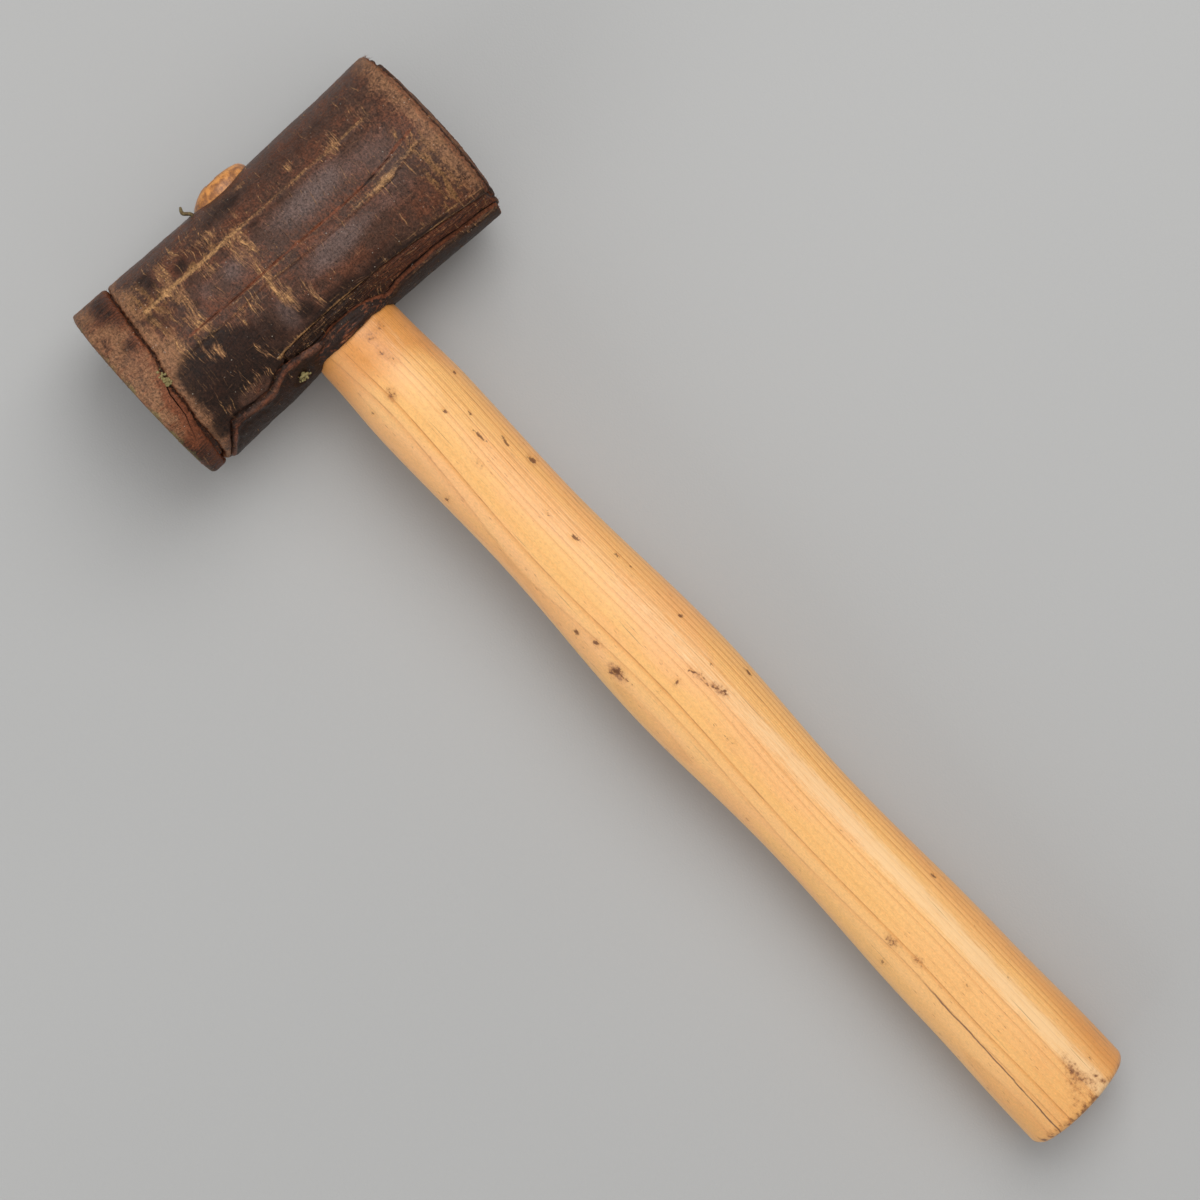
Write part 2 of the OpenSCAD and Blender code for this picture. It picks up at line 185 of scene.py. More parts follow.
class Sizes:
    """The scene's sizes in millimetres and its angles in radians, with what follows from them."""

    def __init__(self, scene):
        for group in (scene.mallet_head, scene.mallet_handle, scene.mallet_nail):
            for name, prop in group.bl_rna.properties.items():
                if name not in ("rna_type", "name"):
                    value = getattr(group, name)
                    setattr(self, name, value / MM if prop.unit == "LENGTH" else value)
        self.face_y = -self.head_len / 2
        self.shoulder_t = self.head_len - self.crown_h
        self.rim_t = self.shoulder_t - self.sheet_short
        self.waist_r = self.waist_d / 2
        self.face_r = self.face_d / 2
        self.arc_r = (self.waist_r + self.face_r) / 2
        self.eye_y = self.face_y + self.eye_from_face
        self.neck_at = self.waist_r + NECK_OUT
        widest = max(wide for _, wide in STATIONS)
        foot = (self.butt_end - self.end_r, widest * self.oval / 2)
        self.lift = self.head_r(self.rim_r)
        self.tilt = math.asin(self.lift / math.hypot(*foot)) - math.atan2(foot[1], foot[0])
        self.middle_x = (self.butt_end - self.stub_end) / 2 * math.cos(self.tilt)

    def head_r(self, t):
        """Radius of the head at t from its flat face."""
        return self.waist_r + (self.face_r - self.waist_r) * (2 * t / self.rim_t - 1) ** 2

    def roll_r(self, t):
        """Radius of the wound strip inside the sheet."""
        return self.head_r(t) - self.sheet_t - self.sheet_fit

    def bore_r(self, t):
        """Radius of the inside of the sheet, which has come away from the strip near its rim."""
        away = np.maximum(0, 1 - (self.rim_t - t) / self.rim_gap_reach)
        return self.head_r(t) - self.sheet_t + self.rim_gap * away**2

    def taper_w(self, x):
        """Width of the handle where it tapers through the head, at x from the head's axis."""
        return self.stub_d + (self.neck_d - self.stub_d) * (x + self.stub_end) / (self.neck_at + self.stub_end)

    def handle_w(self, x):
        """Width of the handle at x from the head's axis."""
        at, wide = np.array([(self.neck_at, self.neck_d), *STATIONS]).T
        i = np.clip(np.searchsorted(at, x) - 1, 0, len(at) - 2)
        eased = (1 - np.cos(math.pi * np.clip((x - at[i]) / (at[i + 1] - at[i]), 0, 1))) / 2
        return np.where(x < self.neck_at, self.taper_w(x), wide[i] + (wide[i + 1] - wide[i]) * eased)

    def handle_oval(self, x):
        """Thickness of the handle as a share of its width: round at the head, oval from the second station."""
        share = np.clip((x - self.neck_at) / (STATIONS[1][0] - self.neck_at), 0, 1)
        return 1 + (self.oval - 1) * (1 - np.cos(math.pi * share)) / 2

    def laid(self, points):
        """Points from the head's own frame, in millimetres, as they lie on the floor, in metres."""
        c, s = math.cos(self.tilt), math.sin(self.tilt)
        x, y, z = np.moveaxis(np.asarray(points, float), -1, 0)
        return np.stack([x * c + z * s - self.middle_x, y, z * c - x * s + self.lift], -1) * MM

    def from_handle(self, points):
        """Points from the handle's frame in the head's own."""
        c, s = math.cos(self.lean), math.sin(self.lean)
        x, y, z = np.moveaxis(np.asarray(points, float), -1, 0)
        return np.stack([x * c - y * s, x * s + y * c + self.eye_y, z], -1)

    def to_handle(self, points):
        """Points from the head's own frame in the handle's."""
        c, s = math.cos(self.lean), math.sin(self.lean)
        x, y, z = np.moveaxis(np.asarray(points, float), -1, 0)
        return np.stack([x * c + (y - self.eye_y) * s, (y - self.eye_y) * c - x * s, z], -1)

    def around(self, angle, radius, t):
        """Points on the head: an angle from straight up towards the handle, a radius and a distance from the face."""
        return np.stack(np.broadcast_arrays(radius * np.sin(angle), t + self.face_y, radius * np.cos(angle)), -1)

    def arc(self, x, t):
        """How far round the head a point lies that shows at x along the handle from above."""
        return self.arc_r * np.arcsin(np.clip(np.asarray(x) / self.head_r(np.asarray(t)), -1, 1))


# The handle's widths past its neck, as distances from the head's axis and widths.
STATIONS = ((50, 26.6), (86, 25.7), (143, 30.1), (190, 27), (245, 29.8), (280, 31.2))

# Lines on the head, seen from above: distances along the handle from the head's axis, and from the flat face.
TEAR = (
    (-30, 10.9), (-23.5, 11.1), (-14.5, 10.6), (-4.7, 10), (0.7, 8.6), (4.6, 7.7), (10.2, 7.5), (15.3, 6.5),
    (20.6, 5.7), (25.1, 4.6), (40, 4.2),
)
SPLIT = ((3.3, 7.4), (6.1, 6.4), (11.9, 5.8), (18.3, 3.3))
RIDGE = (
    (-12.9, 15.3), (-12.8, 22.3), (-12.8, 27.1), (-12.5, 35.5), (-12.9, 42), (-12.6, 51), (-12.4, 63.9),
    (-12.4, 69.2), (-12.2, 77.8), (-12.3, 89.2),
)
CRACK = (
    (-1, 19.6), (-0.8, 29.5), (-0.4, 35.7), (-0.5, 45.9), (-0.3, 55.8), (0.1, 65.9), (0.1, 74.7),
    (-0.4, 79.5), (-1.1, 85), (-2, 88.8), (-2.3, 92.7),
)
SECOND_LINE = (
    (2.4, 13.7), (2.5, 22.1), (2.9, 29.2), (2.8, 33.6), (2.3, 41.2), (3, 49.3), (3.8, 63.8), (3.9, 76),
    (3.6, 82), (2.4, 87.5), (1.9, 92.2),
)
# The seam's edges, in millimetres round the head from SEAM_DIR, and from the flat face.
SEAM_DIR = math.radians(56)
SEAM_UPPER = ((-5.1, 31.4), (-5.9, 34.3), (-6.2, 46.1), (-5.6, 64.7), (-3.3, 83.4), (-0.6, 100))
SEAM_LOWER = ((0.7, 33.7), (6.6, 42.1), (4, 53), (6.2, 62.9), (4.4, 65.8), (4, 78.7), (5.8, 88.6), (7.2, 100))
# How far from the flat face the open seam starts.
SEAM_START = 30.4
# The flap's free edge, as distances from the flat face and up from the head's axis.
FLAP_EDGE = (
    (6.4, 1), (6.6, 2), (9.7, 10.6), (12.5, 15.3), (14.6, 15.9), (20.3, 14.5), (24.5, 14), (28.4, 16.3),
    (31.1, 17), (33.3, 16.6), (35.4, 15.9), (38.1, 15.4), (41, 14.8), (45, 13),
)
FLAP_DIR = math.radians(75)
# Where the seam nail's head lies on the flap, and where its tip comes out at the far side.
NAIL_DIR = math.radians(67)
NAIL_T = 33.2
NAIL_EXIT_T = 39.3
# Where the band nail stands, along the handle and from the flat face.
BAND_NAIL = (3.3, 7.8)
# The fold against the handle's upper side: its distance from the head's axis, and how far it reaches round
# the handle to each side, as an angle.
LIP_AT = 21.7
LIP_REACH = 1.32
# How far round the head from straight up, to each side, the sheet is finely meshed.
FINE_SIDE = 1.85
# Patches of the head's surface: along the handle, from the flat face, half of each size, and strength.
SCUFFS = (
    (-17, 24.2, 5, 1.6, 0.85), (-8.8, 24.4, 5, 2, 0.9), (-3.2, 23.2, 2.5, 1.8, 0.75),
    (-13, 22.5, 2.2, 2.2, 0.6), (-7.5, 17.5, 5, 4, 0.42), (-10.4, 33.6, 2.2, 2.2, 0.6),
    (-9.5, 44.6, 4.5, 1.8, 0.82), (-8, 41.4, 4, 1.6, 0.8), (-12.3, 42, 1.6, 3, 0.5),
    (-2.3, 43.2, 2.2, 2, 0.65), (0.8, 44, 1.6, 1.6, 0.4), (4.5, 42.5, 4, 1.4, 0.8), (9.5, 43, 3.5, 1.3, 0.8),
    (6, 44.8, 4, 1.1, 0.65), (11.5, 48.8, 4.5, 1.2, 0.7), (-16.1, 64.6, 1.6, 1.4, 0.95),
    (-21.1, 52.5, 1.3, 2.4, 0.75), (-12.1, 75.7, 2, 2, 0.8), (-15, 78, 4, 2, 0.35), (-16, 47, 3.5, 0.9, 0.5),
    (6.2, 22.2, 2.6, 1.1, 0.85), (5.6, 19.8, 2.4, 1, 0.75), (13.7, 30.7, 3, 2.5, 0.45), (17.2, 24, 2, 4, 0.4),
    (17.5, 14.3, 2.5, 1.2, 0.45), (-0.7, 23.2, 2.2, 2.4, 0.6), (-4, 31, 3, 3, 0.3), (4, 33, 2, 6, 0.3),
    (-16, 38, 3, 4, 0.45), (-19.5, 32, 4, 9, 0.42), (-14, 86, 6, 4, 0.3), (3.5, 88, 4, 4, 0.25),
    (17, 37, 2, 5, 0.35), (0, 14.5, 4.5, 3, 0.5),
)
GOLD = (
    (-12, 16, 12, 5, 1.0), (-8.8, 24.2, 8, 2, 0.9), (1.5, 24, 2.5, 4, 0.6), (-9, 43.5, 5, 3, 0.8),
    (-10.4, 33.6, 2.2, 2, 0.7), (13.5, 30.5, 3, 2.5, 0.6), (7, 43.2, 6, 1.6, 0.8), (-13.3, 32, 1.5, 14, 0.9),
    (17, 60, 3, 26, 0.3), (8, 92, 14, 5, 0.8), (2.6, 76, 1.2, 9, 0.6),
)
# Painted sheen: patches where the grey stands in for the soft light's reflection.
SHEEN = (
    (-7, 62, 5, 17, 1.0), (6.8, 62, 4, 15, 0.9), (11, 40.5, 5.5, 4.5, 0.8), (0, 84, 9, 7, 0.6),
    (-6, 37, 4, 4, 0.65), (-7, 29.5, 4, 3, 0.5),
)
BLACKENED = (
    (9.7, 19.3, 8.3, 9, 1.9), (10.5, 33, 6.5, 9, 0.6), (-18.5, 19.9, 5, 2.6, 0.7), (-15.3, 28.6, 2.2, 2, 0.6),
    (-16.3, 33.6, 4.5, 5, 0.4), (-8, 17.3, 4.4, 3.4, 0.5), (-11, 14.8, 1.4, 1.5, 0.4),
    (-10.9, 28.7, 1.6, 1.4, 0.6), (-5.9, 25.9, 1.8, 1.6, 0.5), (-11, 48.5, 1.6, 2.2, 0.55),
    # The long patch at (-19, 70), down the side away from the handle, is painted shade.
    (-11.2, 58, 1.4, 8, 0.4), (-20, 45, 4, 8, 0.45), (-19, 70, 5, 26, 0.42), (12.3, 44.6, 2.5, 2.5, 0.6),
    (0.9, 38, 1.2, 3, 0.5), (14, 62, 3.2, 18, 0.35), (17.5, 31, 4, 6, 0.6), (20, 12, 4, 5, 1.0),
)


# Seeded roughness and distances, over arrays of points.

class Lumps:
    """Smooth random heights from about -1 to 1, the same in each run."""

    # The grid's cells, after which it repeats, the heights' factor, and how far each finer layer is shifted.
    CELLS = 24
    GAIN = 1.6
    OCTAVE_SHIFT = 11.3

    def __init__(self, seed):
        slopes = np.random.default_rng(seed).normal(size=(self.CELLS, self.CELLS, self.CELLS, 3))
        self.slopes = slopes / np.linalg.norm(slopes, axis=-1, keepdims=True)

    def once(self, points):
        cell = np.floor(points).astype(int)
        part = points - cell
        ease = part**3 * (part * (part * 6 - 15) + 10)
        total = 0
        for corner in np.ndindex(2, 2, 2):
            slope = self.slopes[tuple(((cell + corner) % self.CELLS).T)]
            weight = np.prod(np.where(corner, ease, 1 - ease), axis=-1)
            total = total + weight * np.sum(slope * (part - corner), axis=-1)
        return total * self.GAIN

    def at(self, points, size, octaves=1):
        """Lumps of about size millimetres, with finer ones on top of them."""
        shape, flat = points.shape[:-1], points.reshape(-1, 3)
        layers = (self.once(flat / size * 2**k + self.OCTAVE_SHIFT * k) / 2**k for k in range(octaves))
        return sum(layers).reshape(shape)


def near(distance, width):
    """1 where distance is nothing, falling off over width to both sides."""
    return np.exp(-((distance / width) ** 2))


def ramp(value, low, high):
    """Smoothly from 0 at low to 1 at high. Low may be the larger one."""
    share = np.clip((value - low) / (high - low), 0, 1)
    return share * share * (3 - 2 * share)


def from_line(line, across, along):
    """Signed distance of points to a line, positive on its right as it runs, and how far along it they lie."""
    best = np.full(np.shape(across), 1e9)
    side, where = np.zeros_like(best), np.zeros_like(best)
    run = 0.0
    for (ax, ay), (bx, by) in zip(line[:-1], line[1:]):
        dx, dy = bx - ax, by - ay
        size = math.hypot(dx, dy)
        share = np.clip(((across - ax) * dx + (along - ay) * dy) / size**2, 0, 1)
        gap = np.hypot(across - ax - share * dx, along - ay - share * dy)
        closer = gap < best
        turned = np.sign((across - ax) * dy - (along - ay) * dx)
        side = np.where(closer, turned, side)
        where = np.where(closer, run + share * size, where)
        best = np.minimum(gap, best)
        run += size
    return best * np.where(side == 0, 1, side), where


def patches(s, arc, t, spots, edge=3.0):
    """How strongly the listed patches cover points of the head, given round it and from its flat face."""
    cover = 0
    for x, at, wide, long, strength in spots:
        off = np.abs((arc - s.arc(x, at)) / wide) ** edge + np.abs((t - at) / long) ** edge
        cover = cover + strength * np.exp(-off)
    return cover


def steps(*runs):
    """Values from run to run, each a start, an end and the greatest step between them."""
    made = [np.linspace(a, b, max(2, math.ceil(abs(b - a) / step) + 1))[:-1] for a, b, step in runs]
    return np.concatenate(made)


# Meshes from numbers.

def new_piece(name, points, faces):
    mesh = bpy.data.meshes.new(name)
    mesh.from_pydata(np.asarray(points).tolist(), [], faces)
    mesh.update()
    piece = bpy.data.objects.new(name, mesh)
    bpy.context.scene.collection.objects.link(piece)
    return piece


def loop_faces(rings, loop, closed):
    """Faces of a closed outline of loop points, swept through rings, and round to the first if closed."""
    i, k = np.meshgrid(np.arange(rings if closed else rings - 1), np.arange(loop), indexing="ij")
    a, b = i * loop + k, i * loop + (k + 1) % loop
    c, d = (i + 1) % rings * loop + (k + 1) % loop, (i + 1) % rings * loop + k
    return np.stack([a, b, c, d], -1).reshape(-1, 4).tolist()


def swept(name, grid, closed=False):
    """A solid swept through grid, an array of outlines, capped at both ends unless closed."""
    rings, loop = grid.shape[:2]
    faces = loop_faces(rings, loop, closed)
    if not closed:
        faces += [list(range(loop))[::-1], list(range((rings - 1) * loop, rings * loop))]
    return new_piece(name, grid.reshape(-1, 3), faces)


def outward(piece):
    """Turns a closed piece's faces outward."""
    mesh = piece.data
    mesh.calc_loop_triangles()
    tri = np.empty(len(mesh.loop_triangles) * 3, int)
    mesh.loop_triangles.foreach_get("vertices", tri)
    a, b, c = np.moveaxis(points_of(piece)[tri.reshape(-1, 3)], 1, 0)
    if np.sum(a * np.cross(b, c)) < 0:
        mesh.flip_normals()
    return piece


def combined(piece, other, how):
    """Cuts another closed piece from this one, or joins it, and removes the other."""
    modifier = piece.modifiers.new("shape", "BOOLEAN")
    modifier.operation, modifier.solver, modifier.object = how, "MANIFOLD", other
    bpy.context.view_layer.update()
    made = bpy.data.meshes.new_from_object(piece.evaluated_get(bpy.context.evaluated_depsgraph_get()))
    if len(made.polygons) < 4:
        raise RuntimeError(f"{piece.name}: {how} left nothing")
    piece.modifiers.clear()
    old, piece.data = piece.data, made
    made.name = piece.name
    bpy.data.meshes.remove(old)
    bpy.data.objects.remove(other)
    return piece


def joined(piece, *others):
    """Puts the other pieces' faces into this piece's mesh."""
    with bpy.context.temp_override(active_object=piece, selected_editable_objects=[piece, *others]):
        bpy.ops.object.join()
    return piece


def points_of(piece):
    """A piece's points, one in each row."""
    co = np.empty(len(piece.data.vertices) * 3)
    piece.data.vertices.foreach_get("co", co)
    return co.reshape(-1, 3)


def write_marks(piece, name, channels):
    """Four shares for each point, which the material reads by name."""
    values = np.zeros((len(piece.data.vertices), 4), np.float32)
    for k, channel in enumerate(channels):
        values[:, k] = np.clip(channel, 0, 1)
    made = piece.data.attributes.new(name, "FLOAT_COLOR", "POINT")
    made.data.foreach_set("color", values.ravel())


def write_places(piece, places, wrap=0):
    """Each corner's place in millimetres. A first number that runs round the head stays whole within a face."""
    mesh = piece.data
    vertex = np.empty(len(mesh.loops), int)
    mesh.loops.foreach_get("vertex_index", vertex)
    corner = places[vertex]
    if wrap:
        first = np.empty(len(mesh.polygons), int)
        size = np.empty(len(mesh.polygons), int)
        mesh.polygons.foreach_get("loop_start", first)
        mesh.polygons.foreach_get("loop_total", size)
        lead = np.repeat(corner[first, 0], size)
        corner[:, 0] += np.round((lead - corner[:, 0]) / wrap) * wrap
    made = mesh.attributes.new("place", "FLOAT_VECTOR", "CORNER")
    made.data.foreach_set("vector", corner.astype(np.float32).ravel())


def finished(piece, node, material, sharp=40):
    """Gives a piece its finish, and puts it in place of its packed node."""
    mesh = piece.data
    mesh.materials.clear()
    mesh.materials.append(material)
    mesh.polygons.foreach_set("use_smooth", np.ones(len(mesh.polygons), bool))
    mesh.set_sharp_from_angle(angle=math.radians(sharp))
    mesh.update()
    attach(piece, "root")
    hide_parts(node)


def place_points(piece, points):
    """Moves a piece's points to where these are."""
    piece.data.vertices.foreach_set("co", points.astype(np.float32).ravel())
    piece.data.update()


def lay(piece, sizes):
    """Moves a piece's points from the head's own frame to where the mallet lies."""
    place_points(piece, sizes.laid(points_of(piece)))


# Shader maths.

class Wire:
    """A node's output, which takes part in plain arithmetic."""

    def __init__(self, finish, socket):
        self.finish, self.socket = finish, socket

    def other(self, out):
        """Another output of the same node."""
        return Wire(self.finish, self.socket.node.outputs[out])

    def maths(self, how, *values):
        return self.finish.add("Math", {"operation": how}, dict(enumerate(values)))

    def __add__(self, other):
        return self.maths("ADD", self, other)

    def __radd__(self, other):
        return self.maths("ADD", other, self)

    def __sub__(self, other):
        return self.maths("SUBTRACT", self, other)

    def __rsub__(self, other):
        return self.maths("SUBTRACT", other, self)

    def __mul__(self, other):
        return self.maths("MULTIPLY", self, other)

    def __rmul__(self, other):
        return self.maths("MULTIPLY", other, self)

    def __abs__(self):
        return self.maths("ABSOLUTE", self)

    def whole(self):
        """The whole number below this."""
        return self.maths("FLOOR", self)

    def part(self):
        """What is left of this over its whole number."""
        return self.maths("FRACT", self)

    def clamped(self):
        return self.finish.add("Clamp", {}, {"Value": self})

    def most(self, other):
        return self.maths("MAXIMUM", self, other)

    def ramped(self, low, high, bottom=0.0, top=1.0):
        """Smoothly from bottom, where this is low or less, to top."""
        ends = {"Value": self, "From Min": low, "From Max": high, "To Min": bottom, "To Max": top}
        return self.finish.add("MapRange", {"interpolation_type": "SMOOTHSTEP"}, ends)


class Finish:
    """A material and the nodes that paint it."""

    def __init__(self, name, **fixed):
        self.material = bpy.data.materials.new(name)
        self.material.use_nodes = True
        self.nodes = self.material.node_tree.nodes
        self.nodes.clear()
        shader = self.add("BsdfPrincipled", {}, {s.replace("_", " "): value for s, value in fixed.items()})
        self.shader = shader.socket.node
        self.add("OutputMaterial", {}, {"Surface": shader}, None)

    def plug(self, socket, value):
        if isinstance(value, Wire):
            self.material.node_tree.links.new(value.socket, socket)
        elif hasattr(socket.default_value, "__len__") and len(socket.default_value) == 4 and len(value) == 3:
            socket.default_value = (*value, 1)
        else:
            socket.default_value = value

    def add(self, kind, settings, sockets, out=0):
        """One node: its settings are set first, and then its sockets are set or linked."""
        node = self.nodes.new("ShaderNode" + kind)
        for name, value in settings.items():
            setattr(node, name, value)
        for name, value in sockets.items():
            self.plug(node.inputs[name], value)
        return None if out is None else Wire(self, node.outputs[out])

    def place(self):
        return self.add("Attribute", {"attribute_name": "place"}, {}, "Vector")

    def marks(self, name):
        """The four shares written under name."""
        read = self.add("Attribute", {"attribute_name": name}, {}, "Color")
        split = self.add("SeparateColor", {}, {0: read})
        return [split.other(k) for k in range(3)] + [read.other("Alpha")]

    def scaled(self, vector, factors):
        return self.add("VectorMath", {"operation": "MULTIPLY"}, {0: vector, 1: factors})

    def shrunk(self, vector, *sizes):
        """The vector, counted in sizes along its three directions."""
        return self.scaled(vector, tuple(1 / size for size in sizes))

    def shifted(self, vector, other):
        return self.add("VectorMath", {"operation": "ADD"}, {0: vector, 1: other})

    def dot(self, vector, other):
        return self.add("VectorMath", {"operation": "DOT_PRODUCT"}, {0: vector, 1: other}, "Value")

    def noise(self, vector, size, detail=2.0, rough=0.5, out=0):
        """Noise of about size, in the units of vector, from 0 to 1."""
        values = {"Vector": vector, "Scale": 1 / size, "Detail": detail, "Roughness": rough}
        return self.add("TexNoise", {}, values, out)

    def warped(self, vector, size, reach):
        """The vector, pushed about by up to reach at lumps of size."""
        push = self.noise(vector, size, 1.0, out="Color")
        centred = self.add("VectorMath", {"operation": "SUBTRACT"}, {0: push, 1: (0.5, 0.5, 0.5)})
        return self.shifted(vector, self.scaled(centred, (2 * reach,) * 3))

    def cells(self, vector, size):
        """Distance from the middles of scattered cells of about size."""
        return self.add("TexVoronoi", {}, {"Vector": vector, "Scale": 1 / size}, "Distance")

    def hairs(self, vector, long, wide, lean, cover):
        """Separate fine strokes along the vector's first direction, as many as cover asks for."""
        across = self.dot(vector, (lean / wide, 1 / wide, 0.0))
        along = self.dot(vector, (1 / long, -lean / long, 0.0))
        cell = self.cells(self.add("CombineXYZ", {}, {0: along, 1: across}), 1.0)
        chance = self.add("SeparateColor", {}, {0: cell.other("Color")})
        return cell.ramped(0.12, 0.42, 1, 0) * (chance + cover).ramped(0.95, 1.05)

    def lit(self, colour, factor):
        """The colour, brighter or darker by factor."""
        return self.add("VectorMath", {"operation": "SCALE"}, {0: colour, "Scale": factor})

    def mixed(self, a, b, share):
        """Colour a towards colour b by share. A Mix node has its colours on sockets 6 and 7, and its result on 2."""
        return self.add("Mix", {"data_type": "RGBA", "clamp_factor": True}, {0: share, 6: a, 7: b}, 2)

    def coats(self, body, *coats):
        """Colours laid over a body one after another, each by its share."""
        for colour, share in coats:
            body = self.mixed(body, colour, share)
        return body

    def bump(self, height, depth, under=None):
        """A bump of height, in metres for each unit, over an earlier one."""
        values = {"Height": height, "Distance": depth, "Strength": 1.0}
        if under:
            values["Normal"] = under
        return self.add("Bump", {}, values)

    def paint(self, **sockets):
        for name, value in sockets.items():
            self.plug(self.shader.inputs[name.replace("_", " ")], value)
        return self.material


def hide_finish(name, look, seed):
    """Old rawhide: dark and oiled, with tan fibres in scuffs, rubbed zones, cracks and cut edges, painted shade, a
    painted sheen and painted glints.

    marks: scuffed, rubbed, blackened (with painted shade and a painted shadow), cracks_and_shade. cuts: cut edge, tan
    line, grime, red layer. tints: gold, painted sheen, red.
    """
    f = Finish(name, Specular_IOR_Level=0.2)
    place = f.shifted(f.place(), (seed, seed, 0.0))
    scuff, rub, black, crack = f.marks("marks")
    edge, line, grime, layer = f.marks("cuts")
    gold, sheen, red, _ = f.marks("tints")

    # Noise, from the broadest to the finest. Its sizes are in millimetres round the head, along it and across it.
    broad = f.noise(place, 13, 3, 0.55)
    mottle = f.noise(place, 2.6, 4, 0.62)
    grain = f.noise(place, 0.7, 4, 0.75)
    speck = f.noise(place, 0.3, 3, 0.7)
    along = f.noise(f.shrunk(f.warped(place, 7, 0.7), 0.3, 7, 0.5), 1, 3, 0.62)
    bent = f.warped(f.warped(place, 11, 2.2), 2.2, 0.35)
    weave = f.noise(f.shrunk(bent, 7, 0.34, 0.5), 1, 2, 0.6)
    clump = f.noise(f.shrunk(bent, 6, 1.5, 2), 1, 2, 0.5)

    # How much of each colour shows.
    warm = mottle * 0.6 + grain * 0.4 + (broad - 0.5) * 0.6
    golden = gold * 0.55 + (clump - 0.5) * 2.0 + (mottle - 0.5) * 1.6 + (grain - 0.5) * 1.2
    shiny = sheen * 0.85 + (broad - 0.5) * 1.0 + (mottle - 0.5) * 0.5
    ruddy = red + (mottle - 0.5) * 1.4 + (along - 0.5) * 0.7
    worn = rub * 1.15 + (mottle - 0.5) * 1.3 + (grain - 0.5) * 0.9 + (along - 0.5) * 0.5
    inky = black * 1.25 + (mottle - 0.5) * 1.3 + (grain - 0.5) * 0.6
    torn = scuff * 1.25 + (weave - 0.5) * 2.8 + (clump - 0.5) * 1.3 + (mottle - 0.5) * 0.8
    fresh = (weave + (clump - 0.5) * 0.55 + scuff * 0.22).ramped(0.72, 0.84)
    long_hairs = f.hairs(f.shifted(bent, (9.0, 2.0, 0.0)), 9.0, 0.36, 0.05, scuff * 0.42)
    stray = f.hairs(f.shifted(bent, (5.0, 3.0, 0.0)), 6.5, 0.28, 0.5, 0.02)
    stray = stray.most(f.hairs(f.shifted(bent, (2.0, 8.0, 0.0)), 0.4, 6.0, 0.1, 0.03))
    seam_lines = line * 1.15 + (grain - 0.5) * 1.3 + (along - 0.5) * 1.2
    dirty = grime * 1.1 + (mottle - 0.5) * 1.7 + (speck - 0.5)
    body = f.coats(
        look.dark,
        (look.red, warm.ramped(0.4, 0.66, 0, 0.5)),
        (look.gold, golden.ramped(0.25, 0.85, 0, 0.9) * gold.ramped(0.05, 0.3)),
        # Painted sheen, laid as grey.
        (look.grey, shiny.ramped(0.2, 0.85, 0, 0.9) * sheen.ramped(0, 0.3, 0.35, 1)),
        (look.red, ruddy.ramped(0.3, 0.9, 0, 0.75)),
        (look.worn, worn.ramped(0.2, 1.0, 0, 0.95)),
        (look.black_and_shade, inky.ramped(0.3, 1.0, 0, 0.86)),
        (look.worn, torn.ramped(0.5, 1.2, 0, 0.78)),
        (look.tan, fresh * grain.ramped(0.35, 0.55, 0.3, 0.85)),
        (look.tan, long_hairs * grain.ramped(0.35, 0.6, 0.3, 0.85)),
        (look.worn, stray * 0.5),
        (look.black_and_shade, along.ramped(0.6, 0.74, 0, 0.4)),
        (look.red, (layer * 1.2 + (along - 0.5) * 1.8).ramped(0.2, 0.9, 0, 0.85)),
        (look.tan, seam_lines.ramped(0.3, 1.2, 0, 0.7)),
        (look.red, (edge * 1.1 + (grain - 0.5) * 1.6).ramped(0.3, 0.9, 0, 0.55)),
        (look.moss, dirty.ramped(0.35, 1.0, 0, 0.8)),
        # Painted shade in the grooves and down cut faces.
        (look.black_and_shade, (crack * 1.2 + (grain - 0.5) * 0.9).ramped(0.35, 0.9, 0, 0.93)),
    )
    body = f.lit(body, 1 + (grain - 0.5) * 3.1 + (speck - 0.5) * 2.0 + (weave - 0.5) * 0.9)
    pits = f.cells(f.scaled(place, (1.0, 0.75, 1.0)), 0.7)
    dots = f.cells(f.shifted(place, (4.0, 1.0, 0.0)), 1.5)
    body = f.coats(
        body,
        (look.black_and_shade, pits.ramped(0.1, 0.3, 1, 0) * mottle.ramped(0.45, 0.62) * 0.42),
        # Pale specks, partly grit and partly painted glints.
        (look.grit_and_glints, dots.ramped(0.05, 0.12, 1, 0) * mottle.ramped(0.46, 0.6) * 0.7),
    )
    dull = 0.42 + 0.22 * torn.ramped(0.3, 1.0) + 0.16 * rub + 0.2 * edge + 0.4 * (grain - 0.5)
    dull = dull + 0.3 * (mottle - 0.5) + 0.1 * black - 0.1 * sheen
    skin = f.bump(mottle * 1.5 + pits.ramped(0, 0.35) * 0.3, 0.00014)
    skin = f.bump(grain + weave * 0.6 + fresh * 0.7, 0.00016, skin)
    return f.paint(Base_Color=body, Roughness=dull.clamped(), Normal=skin)


